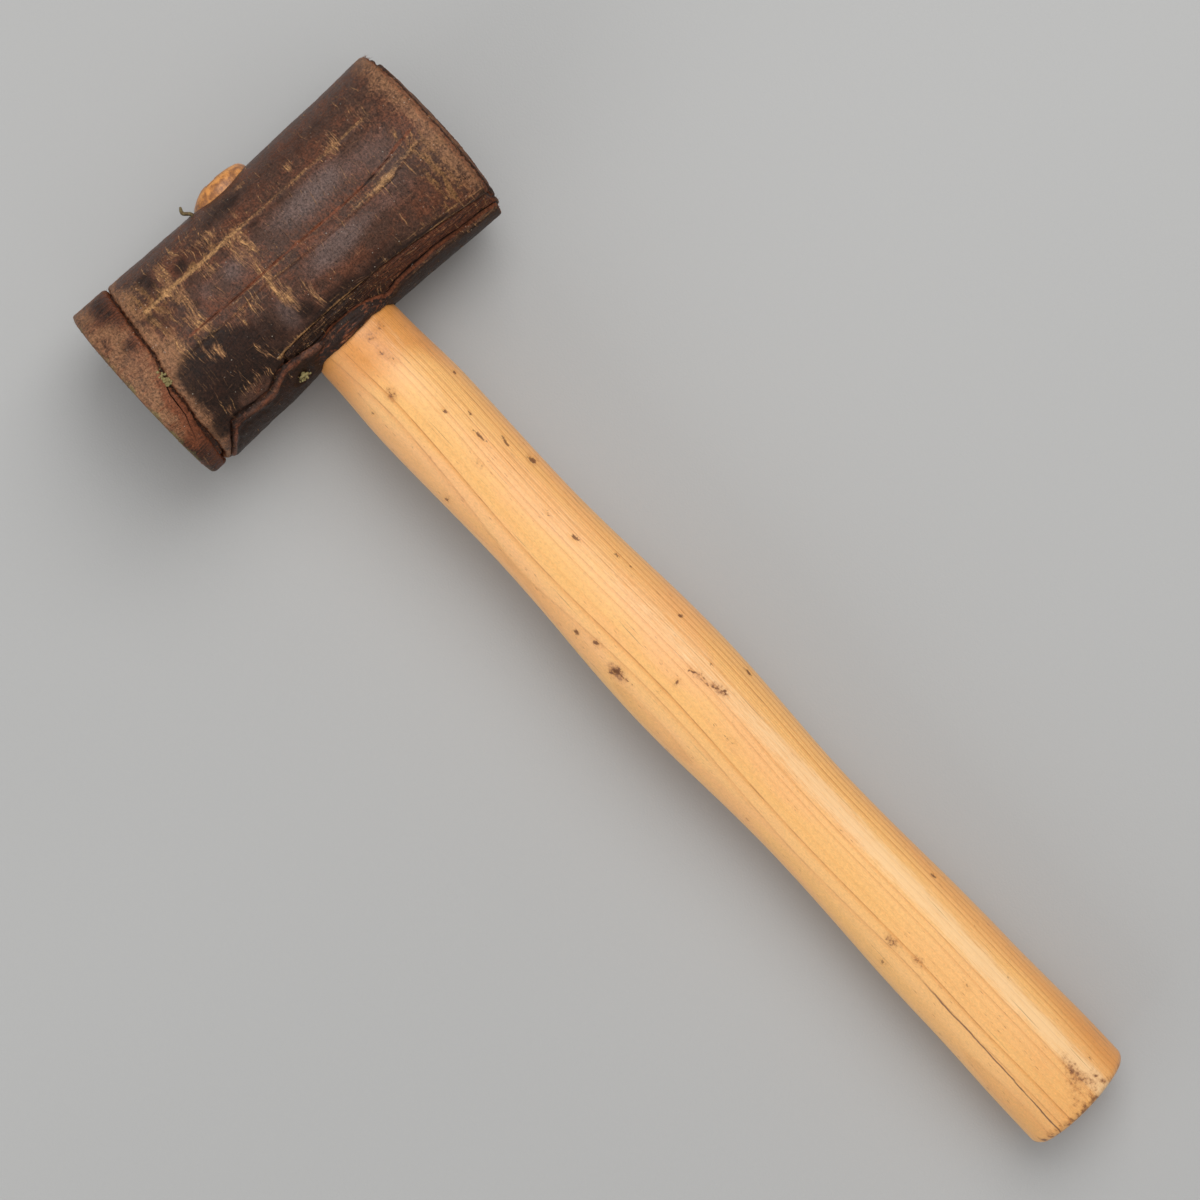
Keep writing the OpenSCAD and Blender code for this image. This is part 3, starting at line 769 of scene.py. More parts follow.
def wood_finish(name, look):
    """Pale varnished hardwood with fine grain lines, flecks, nicks, stains, a painted highlight along the grip and a
    crack at the butt.

    marks: nick, stain, end grain, darkened, near the neck partly painted shade.
    """
    f = Finish(name, Specular_IOR_Level=0.4, Coat_Roughness=0.28)
    place = f.place()
    nick, stain, end, dark = f.marks("marks")
    split = f.add("SeparateXYZ", {}, {0: place})
    along, side, height = (split.other(k) for k in range(3))
    on_top = height.ramped(0, 5)

    # Grain lines lie where planes a little askew to the handle cut it.
    sway = f.noise(f.shrunk(place, 90, 30, 30), 1, 1, 0.5, "Color")
    bent = f.shifted(place, f.scaled(sway, (0.0, 2.4, 2.4)))
    across = f.dot(bent, (0.0015, 0.5, -0.33))
    ring, close = across.part(), (across * 2.6).part()
    strength = f.noise(f.add("CombineXYZ", {}, {0: across.whole(), 1: 0.5}), 0.37, 0, 0.5)
    broken = f.noise(f.shrunk(place, 9, 0.9, 0.9), 1, 3, 0.7)
    late = ring.ramped(0.5, 0.94) * ring.ramped(0.95, 1.0, 1, 0)
    thin = ring.ramped(0.85, 0.93) * ring.ramped(0.94, 0.99, 1, 0) * strength.ramped(0.35, 0.7)
    thin = thin * broken.ramped(0.36, 0.6)
    dense = close.ramped(0.35, 0.85) * close.ramped(0.86, 1.0, 1, 0) * side.ramped(0, 7)
    dense = dense * broken.ramped(0.3, 0.55, 0.3, 1.0)
    shown = side.ramped(-12, -3, 0.25, 1.0)

    pores = f.noise(f.shrunk(place, 5, 0.2, 0.2), 1, 3, 0.65)
    flecks = f.hairs(place, 2.6, 0.42, 0.03, 0.2)
    speck = f.noise(f.shrunk(place, 0.7, 0.3, 0.3), 1, 2, 0.6)
    cloud = f.noise(f.shrunk(place, 38, 11, 11), 1, 3, 0.5)
    patchy = f.noise(place, 1.0, 3, 0.65)
    darkening_and_neck_shade = dark * 0.9 + (cloud - 0.5) * 0.5 + (patchy - 0.5) * 0.3
    body = f.coats(
        look.pale,
        (look.peach, cloud.ramped(0.42, 0.6, 0, 0.9) * along.ramped(170, 235, 1, 0.35)),
        (look.amber, late * shown * strength.ramped(0.3, 0.7, 0.15, 0.7)),
        (look.amber, darkening_and_neck_shade.ramped(0.1, 0.9, 0, 0.85)),
        (look.line, thin * shown * 0.75),
        (look.line, dense * 0.3 * along.ramped(160, 230, 1, 0.4)),
        (look.line, pores.ramped(0.6, 0.76, 0, 0.25)),
        (look.line, flecks * 0.65 * patchy.ramped(0.42, 0.56) * cloud.ramped(0.4, 0.55, 0.3, 1.0)),
    )
    body = f.lit(body, 1 + (speck - 0.5) * 0.4 + (patchy - 0.5) * 0.22 + (pores - 0.5) * 0.2)

    # Painted highlight along the top of the grip, where the lamp's reflection lies.
    streak = side.ramped(1.6, 5.6) * side.ramped(6.6, 10.4, 1, 0) * along.ramped(70, 215, 0.25, 1.0) * on_top
    streak = streak + (pores - 0.5) * 1.6 + (broken - 0.5) * 1.0
    long_cracks = f.hairs(f.shifted(place, (11.0, 5.0, 0.0)), 17.0, 0.3, 0.012, 0.035)
    wobble = f.noise(f.shrunk(place, 7, 4, 4), 1, 3, 0.6)
    off = abs(side + 8.1 + (along - 238.0) * 0.0188 + (wobble - 0.5) * 1.1)
    crack = off.ramped(0.08, 0.26, 1, 0) * along.ramped(234, 246) * height.ramped(0, 4)
    rough_end = f.noise(f.shrunk(place, 3, 0.7, 0.7), 1, 3, 0.7)
    bruised = nick * 1.1 + (patchy - 0.5) * 1.7 + (pores - 0.5) * 0.8
    body = f.coats(
        body,
        (look.bright, streak.ramped(0.15, 1.1, 0, 0.72)),
        (look.bruise, long_cracks * 0.6 * broken.ramped(0.35, 0.5)),
        (look.bruise, crack * broken.ramped(0.3, 0.45, 0.45, 0.95)),
        (look.end, end * 0.9),
        (look.bruise, end * rough_end.ramped(0.48, 0.7, 0, 0.6)),
        (look.line, (stain * 0.9 + (patchy - 0.5) * 1.3).ramped(0.2, 1.0, 0, 0.7)),
        (look.bruise, (stain * 1.0 + (patchy - 0.5) * 1.9).ramped(0.6, 1.3, 0, 0.75)),
        (look.bruise, bruised.ramped(0.4, 0.8, 0, 0.88)),
    )
    dull = 0.42 + 0.3 * (cloud - 0.5) + 0.25 * nick + 0.2 * end + 0.15 * stain + 0.2 * (pores - 0.5)
    coat = 0.5 * cloud.ramped(0.25, 0.6, 0.5, 1.0) * (1 - nick) * (1 - end)
    relief = f.bump(pores.ramped(0.35, 0.7) * -0.5 - late * 0.3 + patchy * nick - long_cracks, 0.00005)
    relief = f.bump(rough_end * end, 0.0003, relief)
    return f.paint(Base_Color=body, Roughness=dull.clamped(), Coat_Weight=coat.clamped(), Normal=relief)


def wedge_finish(name, look):
    """The wedge's bare wood, its end grain outward, with dark dirt in patches."""
    f = Finish(name, Specular_IOR_Level=0.3)
    place = f.add("TexCoord", {}, {}, "Object")
    rays = f.noise(f.scaled(place, (120.0, 900.0, 420.0)), 1, 3, 0.6)
    dirt = f.noise(place, 0.004, 3, 0.6)
    body = f.mixed(look.end, look.amber, rays.ramped(0.4, 0.7))
    body = f.mixed(body, look.bruise, dirt.ramped(0.45, 0.7, 0, 0.7))
    relief = f.bump(rays, 0.0003)
    return f.paint(Base_Color=body, Roughness=(0.62 + 0.3 * (dirt - 0.5)), Normal=relief)


def nail_finish(name, look):
    """Dull brass under a green and brown crust. marks: crust."""
    f = Finish(name, Specular_IOR_Level=0.5)
    place = f.add("TexCoord", {}, {}, "Object")
    crust = f.marks("marks")[0]
    spots = f.noise(place, 0.0009, 4, 0.65)
    small = f.noise(place, 0.00025, 3, 0.6)
    cover = (crust * 1.2 + (spots - 0.5) * 1.6).ramped(0.25, 0.8)
    body = f.mixed(look.metal, look.moss, spots.ramped(0.4, 0.7, 0, 0.3))
    crusty = f.mixed(look.crust, look.red, small.ramped(0.5, 0.75, 0, 0.55))
    body = f.mixed(body, crusty, cover)
    relief = f.bump(spots + small * 0.6, 0.00018)
    return f.paint(Base_Color=body, Roughness=0.45 + cover * 0.4, Metallic=0.75 - cover * 0.75, Normal=relief)


# The outer sheet, its band and its flap.

def seam_angle(s, line, t):
    """Angle of one of the seam's edges at t."""
    across, along = np.array(line).T
    return SEAM_DIR + np.interp(t, along, across) / s.waist_r


def tear_t(angle, radius):
    """Where the tear runs, from the flat face."""
    across, along = np.array(TEAR).T
    return np.interp(radius * np.sin(angle), across, along)


def flap_angle(s, t):
    """Angle of the flap's free edge at t."""
    along, up = np.array(FLAP_EDGE).T
    return np.arccos(np.interp(t, along, up) / (s.head_r(t) + s.flap_h))


def seen(s, line):
    """A line that was given as it shows from above, laid round the head."""
    return [(float(s.arc(x, t)), t) for x, t in line]


def seam_sides(s, angle, t):
    """How far round the head points lie above the seam's upper edge, and below its lower one."""
    return (seam_angle(s, SEAM_UPPER, t) - angle) * s.arc_r, (angle - seam_angle(s, SEAM_LOWER, t)) * s.arc_r


def head_lines(s, arc, t, wander):
    """Distances of points from the ridge, the crack and the second line, and how far along the crack they lie."""
    ridge, _ = from_line(seen(s, RIDGE), arc + 0.12 * wander, t)
    crack, run = from_line(seen(s, CRACK), arc + 0.16 * wander, t)
    second, _ = from_line(seen(s, SECOND_LINE), arc + 0.16 * wander, t)
    return ridge, crack, run, second


def hide_height(s, lumps, angle, t):
    """Relief of the sheet over the head's plain profile, in millimetres."""
    arc = angle * s.arc_r
    p = s.around(angle, s.head_r(t), t)
    wander = lumps.at(p, 3.0, 2)
    ridge, crack, run, second = head_lines(s, arc, t, wander)
    h = 0.2 * lumps.at(p, 19, 2) + 0.06 * wander + 0.045 * lumps.at(p, 0.9, 2)
    h += (0.16 * near(ridge, 0.8) - 0.13 * near(ridge - 1.2, 0.6)) * (0.75 + 0.5 * lumps.at(p, 4))
    deep = ramp(run, 0, 6) * ramp(run, 80, 66) * (0.7 + 0.6 * lumps.at(p, 6))
    h += 0.08 * near(np.abs(crack) - 0.6, 0.35) - 0.3 * near(crack, 0.2) * deep
    h += 0.12 * near(second + 0.9, 0.6) - 0.18 * near(second, 0.3)
    h += 0.2 * np.minimum(1, patches(s, arc, t, SCUFFS)) * lumps.at(p * (1, 2.2, 1), 0.9, 2)
    return h


class Ground:
    """Points of the head, with what the marks on its hide depend on."""

    def __init__(self, s, lumps, p):
        self.s, self.lumps, self.p = s, lumps, p
        self.t = t = p[:, 1] - s.face_y
        self.angle, self.radius = np.arctan2(p[:, 0], p[:, 2]), np.hypot(p[:, 0], p[:, 2])
        self.arc = self.angle * s.arc_r
        self.depth = s.head_r(t) - self.radius
        self.wander = lumps.at(p, 3.0, 2)
        self.uneven = 1 + 0.5 * lumps.at(p, 7, 2)
        self.streak = lumps.at(p * (1, 0.12, 1) + 9, 0.9, 2)
        self.ridge, self.crack, self.run, self.second = head_lines(s, self.arc, t, self.wander)
        self.torn = t - tear_t(self.angle, self.radius)
        self.rim = s.rim_t - t
        self.above, self.below = seam_sides(s, self.angle, t)
        self.beside_seam = ramp(t, 30, 33)
        self.lip = lip_cover(s, p)
        self.flap = (flap_angle(s, t) - self.angle) * s.arc_r
        self.on_flap = ramp(self.flap, 0.3, -0.3) * ramp(t, 5, 7) * ramp(t, 44, 38)
        self.top = ramp(np.abs(self.angle), 1.9, 1.2)
        self.from_above = 0.4 + 0.6 * ramp(self.angle, 2.1, 1.4)


def scuffed(g):
    """Where the surface is scuffed, with its fibres raised."""
    scuff = np.minimum(1.1, patches(g.s, g.arc, g.t, SCUFFS)) * g.top
    scuff = scuff + 0.2 * near(g.ridge, 1.0) * ramp(g.t, 50, 40) + 0.1 * near(g.second, 1.0)
    scuff = scuff + 0.08 + 0.2 * ramp(np.abs(g.angle), 1.2, 1.9) * g.uneven
    return scuff * (0.5 + 0.5 * g.top) * (1 - g.on_flap)


def rubbed(g):
    """Where the surface is rubbed off: by the tear, on the band, at the crowned rim, in a patch and by the seam."""
    rub = 0.85 * near(g.torn / (4.2 * g.uneven), 1) * ramp(g.torn, -0.5, 0.2)
    rub = rub + 0.7 * near(g.rim / (5.5 * g.uneven), 1) * ramp(g.t, 50, 80)
    rub = rub + 0.95 * ramp(g.torn, 0.2, -0.2) * g.uneven
    rub = rub + 1.1 * near(np.hypot((g.arc + 0.5) / 4.5, (g.t - 14.5) / 3.2), 1)
    rub = rub + 0.4 * near(g.angle - 1.25, 0.2) * ramp(g.t, 60, 80)
    return rub * (1 - g.on_flap)


def blackened(g):
    """Where the hide is painted black: in its patches, by the seam, on the fold and on the flap, with painted shade
    at the crowned rim's gap and a painted shadow beside the flap's free edge.
    """
    black = patches(g.s, g.arc, g.t, BLACKENED)
    black = black + 1.6 * ramp(g.below, 0.3, 2.2) * g.beside_seam * g.from_above
    # Painted shade on the rim's face, in the gap at the crowned rim.
    black = black + 0.5 * near((g.rim + 0.3) / 0.35, 1)
    edges = 0.95 * near(g.above / 3.2, 1) * ramp(g.t, 34, 44) + 0.7 * near(g.below / 5, 1)
    black = black + edges * g.beside_seam * (0.7 + 0.5 * ramp(-g.streak, 0, 0.6))
    black = black + g.lip * (0.55 + 0.7 * ramp(g.streak, 0.1, -0.5))
    # Painted shadow beside the flap's free edge, on the sheet it lies over.
    black = black + 1.1 * near(g.flap - 0.8, 0.9) * ramp(g.t, 5, 8) * ramp(g.t, 36, 33)
    return black + 0.95 * g.on_flap * ramp(g.flap, -0.6, -2.6) * g.from_above


def cracks_and_shade(g):
    """How dark grooves and cut faces are painted, as painted shade: in the crack, the second line and beside the
    ridge, and deeper in a cut face.
    """
    core = 0.5 + 0.6 * near((g.t - 77) / 8, 1) + 0.35 * near((g.t - 31) / 10, 1)
    deep = core * near(g.crack, 0.26) * ramp(g.run, 0, 4) * ramp(g.run, 74, 66) * (0.75 + 0.5 * g.lumps.at(g.p, 4))
    deep = deep + 0.7 * near(g.second, 0.28) * ramp(g.t, 20, 30) * (0.8 + 0.6 * g.lumps.at(g.p, 5))
    deep = deep + 0.3 * near(g.ridge - 1.2, 0.4) * g.uneven
    # Painted shade down cut faces, the darker the deeper they lie.
    return deep + 0.85 * ramp(g.depth, 1.0, 2.4)


def tan_lines(g):
    """Where tan fibres run: along the ridge, the second line, the crack, the seam and the fold."""
    wide = ramp(g.t, 62, 71) * ramp(g.t, 94, 86)
    line = (0.5 + 0.5 * ramp(g.t, 50, 38)) * near(g.ridge, 0.75) * ramp(g.t, 10, 15) * ramp(g.t, 92, 84)
    line = line * (0.8 + 0.3 * g.uneven)
    line = line + (0.42 + 0.4 * wide) * near(g.second + 0.7 + 0.5 * wide, 0.4 + 0.7 * wide) * g.uneven
    line = line + (0.5 * near(g.crack - 0.6, 0.35) + 0.3 * near(g.crack + 0.6, 0.3)) * g.uneven
    seam = 0.5 * near(g.above - 0.5, 0.5) * g.uneven + 0.4 * near(g.below - 0.5, 0.4)
    seam = seam + 0.75 * near(g.above - 0.9, 1.1) * ramp(g.t, 64, 48) * ramp(g.streak, -0.5, 0.5)
    seam = seam + 0.5 * near(g.above - 1.7, 2.0) * ramp(g.streak, 0.3, 0.9)
    line = line + seam * g.beside_seam + 0.6 * near(g.above - 2.6, 0.3) * ramp(g.t, 60, 80)
    line = line + 0.5 * g.lip * ramp(g.streak, 0.4, 0.9)
    return line * (1 - g.on_flap)


def red_layer(g):
    """Where the hide's red inner layer shows: at the tear, in cuts, along the crack, the flap's edge and the fold."""
    layer = 0.3 * near(g.torn / 2.5, 1) + 0.4 * ramp(g.depth, 0.4, 1.0)
    layer = layer + 1.05 * near(g.crack, 0.42) * (0.75 + 0.5 * g.wander)
    layer = layer + 0.45 * near(g.flap + 0.8, 0.8) * ramp(g.t, 5, 8) * ramp(g.t, 40, 33) * g.uneven
    return layer + 0.6 * g.lip * ramp(g.streak, 0.0, 0.5)


def hide_marks(g):
    """What the hide's finish reads: its marks, its cuts and its tints."""
    edge = ramp(g.depth, 0.5, 1.1) + 0.4 * near(g.torn, 0.5) + 0.6 * near(g.rim / 0.9, 1)
    grime = 0.55 * near(g.t / 1.1, 1) + 0.3 * near(g.rim / 1.0, 1) * ramp(g.lumps.at(g.p, 5), 0, 0.4)
    red = 0.8 * near(g.torn / 9, 1) * near((g.arc + 3) / 12, 1)
    red = red + 0.75 * near(g.rim / 12, 1) * near((g.angle - 1) / 0.5, 1)
    gold = patches(g.s, g.arc, g.t, GOLD) * g.uneven
    # Painted sheen patches.
    sheen = patches(g.s, g.arc, g.t, SHEEN, 2.0)
    return (
        (scuffed(g), rubbed(g), blackened(g), cracks_and_shade(g)),
        (edge, tan_lines(g), grime, red_layer(g)),
        (gold, sheen, red),
    )


def lip_cover(s, p):
    """How much points of the head belong to the fold of hide that lies against the handle's upper side."""
    own = s.to_handle(p)
    off = np.hypot(own[:, 1], own[:, 2]) - s.handle_w(own[:, 0]) / 2
    return ramp(off, 4.2, 3.0) * ramp(p[:, 2], 4, 7) * ramp(p[:, 0], 17, 19.5)


def wall(lumps, angle, top_r, low_r, at, lean, seed):
    """A torn or cut edge's face, from one radius to another, for each angle."""
    levels = np.linspace(0, 1, 8)[1:-1]
    r = top_r[:, None] + (low_r - top_r)[:, None] * levels
    a = np.broadcast_to(angle[:, None], r.shape)
    where = np.stack([r * np.sin(a), np.full_like(r, seed), r * np.cos(a)], -1)
    rough = 0.2 * lumps.at(where, 0.8, 2) + 0.12 * lumps.at(where * 1.7, 1.3)
    t = at[:, None] + rough + lean * levels * (1 - levels)
    return np.stack([where[..., 0], t, where[..., 2]], -1)


def band_marks(g, marks, cuts, tints):
    """The marks of the band, which has its own split, dirt and rust."""
    scuff, rub, _, deep = marks
    edge, _, grime, layer = cuts
    top = g.p[:, 2] > 0
    split, _ = from_line(SPLIT, g.p[:, 0], g.t)
    dirt = 1.1 * near(np.hypot((g.arc + 25) / 10, (g.t - 10) / 5.5), 1)
    dirt = dirt + 0.6 * near(np.hypot((g.arc + 9) / 2.4, (g.t - 7) / 3.2), 1)
    dirt = dirt + 0.8 * near((g.t - tear_t(g.angle, g.s.waist_r) + 1.1) / 0.7, 1) * ramp(g.arc, 2, 10)
    dirt = dirt + 0.9 * ramp(g.arc, 12, 22) * (1 + g.lumps.at(g.p, 4))
    # Painted shade in the band's second split.
    deep = deep + 0.5 * near(split, 0.35) * top
    fibres = 0.3 * ramp(g.lumps.at(g.p * (1, 2, 1), 1.5, 2), 0.3, 0.9)
    grime = grime + 0.45 * top * g.lumps.at(g.p, 5, 2)
    rust = 0.3 + 0.7 * near(split - 0.6, 1.6) * top + 0.5 * near(g.arc - 12, 9) * g.lumps.at(g.p, 4, 2)
    layer = layer + 0.8 * rust * top
    return (scuff * 0.7, 0.75 * rub - 0.5 * dirt, dirt * top, deep), (edge, fibres, grime, layer), tints


def frayed(lumps, angle, radius, seed, size):
    """How far an edge wanders along the head at each angle."""
    where = np.stack([radius * np.sin(angle), np.full_like(angle, seed), radius * np.cos(angle)], -1)
    return size * (lumps.at(where, 1.1, 3) + 0.6 * lumps.at(where, 0.35) + 0.8 * lumps.at(where, 5))


def rounded(gap, bend):
    """How far a worn corner of radius bend falls back at gap from its edge."""
    return np.where(gap < bend, bend - np.sqrt(np.maximum(0, bend**2 - (bend - gap) ** 2)), 0)


def sheet_outline(s, lumps, angle, share):
    """For each angle the closed outline of the sheet's section: out along its face, round its rim and back inside."""
    pocket = 0.9 * ramp(np.sin(angle), 0.6, 0.9) * ramp(np.cos(angle), 0, 0.3)
    start = tear_t(angle, s.waist_r) + s.tear_w / 2 + 0.1 + pocket + frayed(lumps, angle, s.waist_r, 40.0, 0.26)
    stop = s.rim_t + 0.75 * ramp(np.cos(angle), 0.3, 0.9) + frayed(lumps, angle, s.waist_r, 90.0, 0.22)
    t = start[:, None] + (stop - start)[:, None] * share
    a = np.broadcast_to(angle[:, None], t.shape)
    from_tear, from_rim = t - start[:, None], stop[:, None] - t
    worn = rounded(from_rim, s.rim_r * (1 + 0.35 * lumps.at(s.around(a, s.waist_r, 0 * t), 6)))
    curl = 0.45 * np.maximum(0, 1 - from_tear / 0.8) ** 2 + 0.22 * np.exp(-from_tear / 3.2)

    above, below = seam_sides(s, a, t)
    beside_seam = ramp(t, 31, 34)
    h = hide_height(s, lumps, a, t)
    h -= 0.5 * np.maximum(0, 1 - np.maximum(above, 0) / 1.1) ** 2 * beside_seam * (above > -1)
    h += 0.1 * near(above - 1.2, 0.5) * beside_seam
    h -= 0.6 * np.maximum(0, 1 - np.maximum(below, 0) / 1.4) ** 2 * beside_seam * (below > -1)
    flap = (flap_angle(s, t) - a) * s.arc_r
    h -= 0.8 * near(flap - 0.3, 0.8) * ramp(t, 5, 8) * ramp(t, 36, 33)
    outer_r = s.head_r(t) + h - worn - curl

    # Back along the bore, in steps that are finest near the rim.
    inside = np.array([1.0, 0.985, 0.96, 0.92, 0.86, 0.7, 0.5, 0.3, 0.15, 0.0])
    t_in = start[:, None] + (stop - start)[:, None] * inside
    gap = 0.8 * ramp(t_in, s.rim_t - 10, s.rim_t) * near((a[:, :1] + 0.7) / 0.5, 1)
    bore_r = s.bore_r(np.minimum(t_in, s.rim_t)) + gap
    inner = s.around(a[:, :1], bore_r, t_in)
    rim = wall(lumps, angle, outer_r[:, -1], bore_r[:, 0], stop, 0.3, 300.0)
    tear = wall(lumps, angle, bore_r[:, -1], outer_r[:, 0], start, -0.5, 200.0)
    rim[..., 1] += s.face_y
    tear[..., 1] += s.face_y
    return np.concatenate([s.around(a, outer_r, t), rim, inner, tear], axis=1)


def fine_angles(fine, coarse):
    """Angles round the head, closer together on the side that faces up."""
    return steps((-FINE_SIDE, FINE_SIDE, fine), (FINE_SIDE, TURN - FINE_SIDE, coarse))


def seam_cutter(s, lumps):
    """The open seam, as a solid to cut from the sheet. Its walls are frayed and lean a little."""
    t = steps((SEAM_START, 34, 0.25), (34, s.rim_t + 4, 0.4))
    depth = np.linspace(-3.6, 2.6, 15)
    right = seam_angle(s, SEAM_LOWER, t)[:, None]
    left = np.minimum(seam_angle(s, SEAM_UPPER, t)[:, None], right - 0.02)
    pinch = ramp(t, SEAM_START, 33.5)[:, None]
    mid = (left + right) / 2
    left, right = mid + (left - mid) * pinch - 0.004, mid + (right - mid) * pinch + 0.004
    radius = s.head_r(t)[:, None] + depth
    frays = []
    for edge, seed in ((left, 0.0), (right, 60.0)):
        p = s.around(edge, radius, (t + seed)[:, None])
        frays.append((0.16 * lumps.at(p * (1, 0.5, 1), 0.7, 2) + 0.2 * lumps.at(p, 3)) / s.arc_r)
    left = left + frays[0] + 0.02 * np.clip(-depth - 0.4, 0, 2)
    right = right + frays[1]
    sides = s.around(left, radius, t[:, None]), s.around(right, radius, t[:, None])[:, ::-1]
    return outward(swept("seam_cut", np.concatenate(sides, axis=1)))


def eye_cutter(s, room):
    """The tapered eye, as a solid to cut from hide."""
    x = np.array([-s.stub_end - 4, s.neck_at + 6])
    ring = np.linspace(0, TURN, 180, endpoint=False)
    r = s.taper_w(x) / 2 + room
    grid = np.stack(np.broadcast_arrays(x[:, None], r[:, None] * np.cos(ring), r[:, None] * np.sin(ring)), -1)
    return outward(swept("eye_cut", s.from_handle(grid)))


def flap_solid(s, lumps):
    """The lifted end of the sheet, as a solid that lies over the sheet and fades out under the head."""
    first, last = FLAP_EDGE[0][0], 44.5
    t = steps((first, last, 0.33))
    run = steps((0, 1.6, 0.2), (1.6, 16, 0.4), (16, 50, 1.5))
    begin = flap_angle(s, t)[:, None]
    p = s.around(begin, s.waist_r, t[:, None])
    begin = begin + (0.35 * lumps.at(p, 1.8, 3) + 0.15 * lumps.at(p, 0.5)) / s.arc_r
    a = begin + run / s.arc_r
    grid_t = np.broadcast_to(t[:, None], a.shape)
    p = s.around(a, s.waist_r, grid_t)
    lifted = s.head_r(grid_t) + s.flap_h * np.cos(a - FLAP_DIR)
    h = 0.14 * lumps.at(p, 7, 2) + 0.1 * lumps.at(p, 1.6, 3) - 0.8 * np.maximum(0, 1 - run / 1.1) ** 2
    h += 0.28 * near(run - 1.7, 0.9) * ramp(grid_t, 8, 12) - 0.3 * near(run - 3.6, 1.2)
    h -= 0.7 * np.maximum(0, 1 - (grid_t - first) / 1.1) ** 2
    h -= 0.45 * ramp(grid_t, 24, 40) + 0.6 * ramp(grid_t, 39, last) + 0.45 * ramp(run, 34, 50)
    pit = np.hypot((a - NAIL_DIR) * s.arc_r, (grid_t - NAIL_T) / 1.1)
    h -= 1.0 * near(pit, 2.1) - 0.2 * near(pit - 3.2, 0.8)
    outer = s.around(a, lifted + h, grid_t)
    inner = s.around(a, lifted - 0.7 * s.sheet_t, grid_t)[:, ::-1]
    return outward(swept("flap", np.concatenate([outer, inner], axis=1)))


def lip_solid(s, lumps):
    """The fold where the seam's lower edge is pushed up against the handle, as a solid that the eye is cut from."""
    turn = steps((-LIP_REACH, LIP_REACH, 0.022))[:, None]
    ring = np.linspace(0, TURN, 72, endpoint=False)
    fade = ramp(np.abs(turn), LIP_REACH, 0.9)
    where = np.stack(np.broadcast_arrays(turn * 12.5, 2.2 * np.cos(ring), 2.2 * np.sin(ring)), -1)
    size = 1 + 0.15 * lumps.at(where * (0.13, 1, 1), 1.0, 2) + 0.03 * lumps.at(where, 1.2)
    size = size + 0.1 * lumps.at(where + 30, 4)
    along = LIP_AT + 0.4 * lumps.at(where * (1, 0, 0), 6) + 2.6 * size * (0.65 + 0.35 * fade) * np.cos(ring)
    out = s.neck_d / 2 + 0.25 + (0.6 + 1.5 * fade) * size * np.sin(ring)
    return outward(swept("lip", s.from_handle(np.stack([along, out * np.sin(turn), out * np.cos(turn)], -1))))


def hairs_on(roots, outs, reach, seed):
    """Short stiff fibres that stand out of a torn edge."""
    rng = np.random.default_rng(seed)
    count = len(roots)
    outs = outs + rng.normal(0, 0.5, (count, 3))
    outs /= np.linalg.norm(outs, axis=1, keepdims=True)
    size = reach * rng.uniform(0.25, 1.0, (count, 1)) ** 1.5
    bend = rng.normal(0, 0.55, (count, 3)) * size
    side = np.cross(outs, rng.normal(size=(count, 3)))
    side /= np.linalg.norm(side, axis=1, keepdims=True)
    other = np.cross(outs, side)
    wide = rng.uniform(0.045, 0.085, (count, 1))
    rings = []
    for share in (0.0, 0.35, 0.7, 1.0):
        at = roots + outs * size * (share - 0.2) + bend * share**2
        for k in range(3):
            turn = k * TURN / 3
            rings.append(at + (side * math.cos(turn) + other * math.sin(turn)) * wide * (1 - 0.8 * share))
    points = np.stack(rings, 1).reshape(-1, 3)
    one = [[2, 1, 0], [9, 10, 11]]
    for r in (0, 3, 6):
        one += [[r + k, r + (k + 1) % 3, r + 3 + (k + 1) % 3, r + 3 + k] for k in range(3)]
    faces = [[12 * i + v for v in face] for i in range(count) for face in one]
    return new_piece("hairs", points, faces)


def edge_hairs(s, piece, angle, t, radius, out, reach, seed):
    """Fibres along an edge of a piece, given round the head and from its flat face."""
    roots = s.around(angle, radius, t)
    joined(piece, hairs_on(roots, np.broadcast_to(out, roots.shape), reach, seed))


def write_hide(piece, marks, cuts, tints):
    """Writes what the hide's finish reads."""
    write_marks(piece, "marks", marks)
    write_marks(piece, "cuts", cuts)
    write_marks(piece, "tints", tints)


def dressed_hide(piece, s, lumps, node, material, change=None):
    """Writes the hide's marks on a piece of the head, lays it in place and finishes it."""
    g = Ground(s, lumps, points_of(piece))
    write_places(piece, np.stack([g.arc, g.t, g.radius], -1), TURN * s.arc_r)
    written = hide_marks(g)
    write_hide(piece, *(change(g, *written) if change else written))
    lay(piece, s)
    finished(piece, node, material)


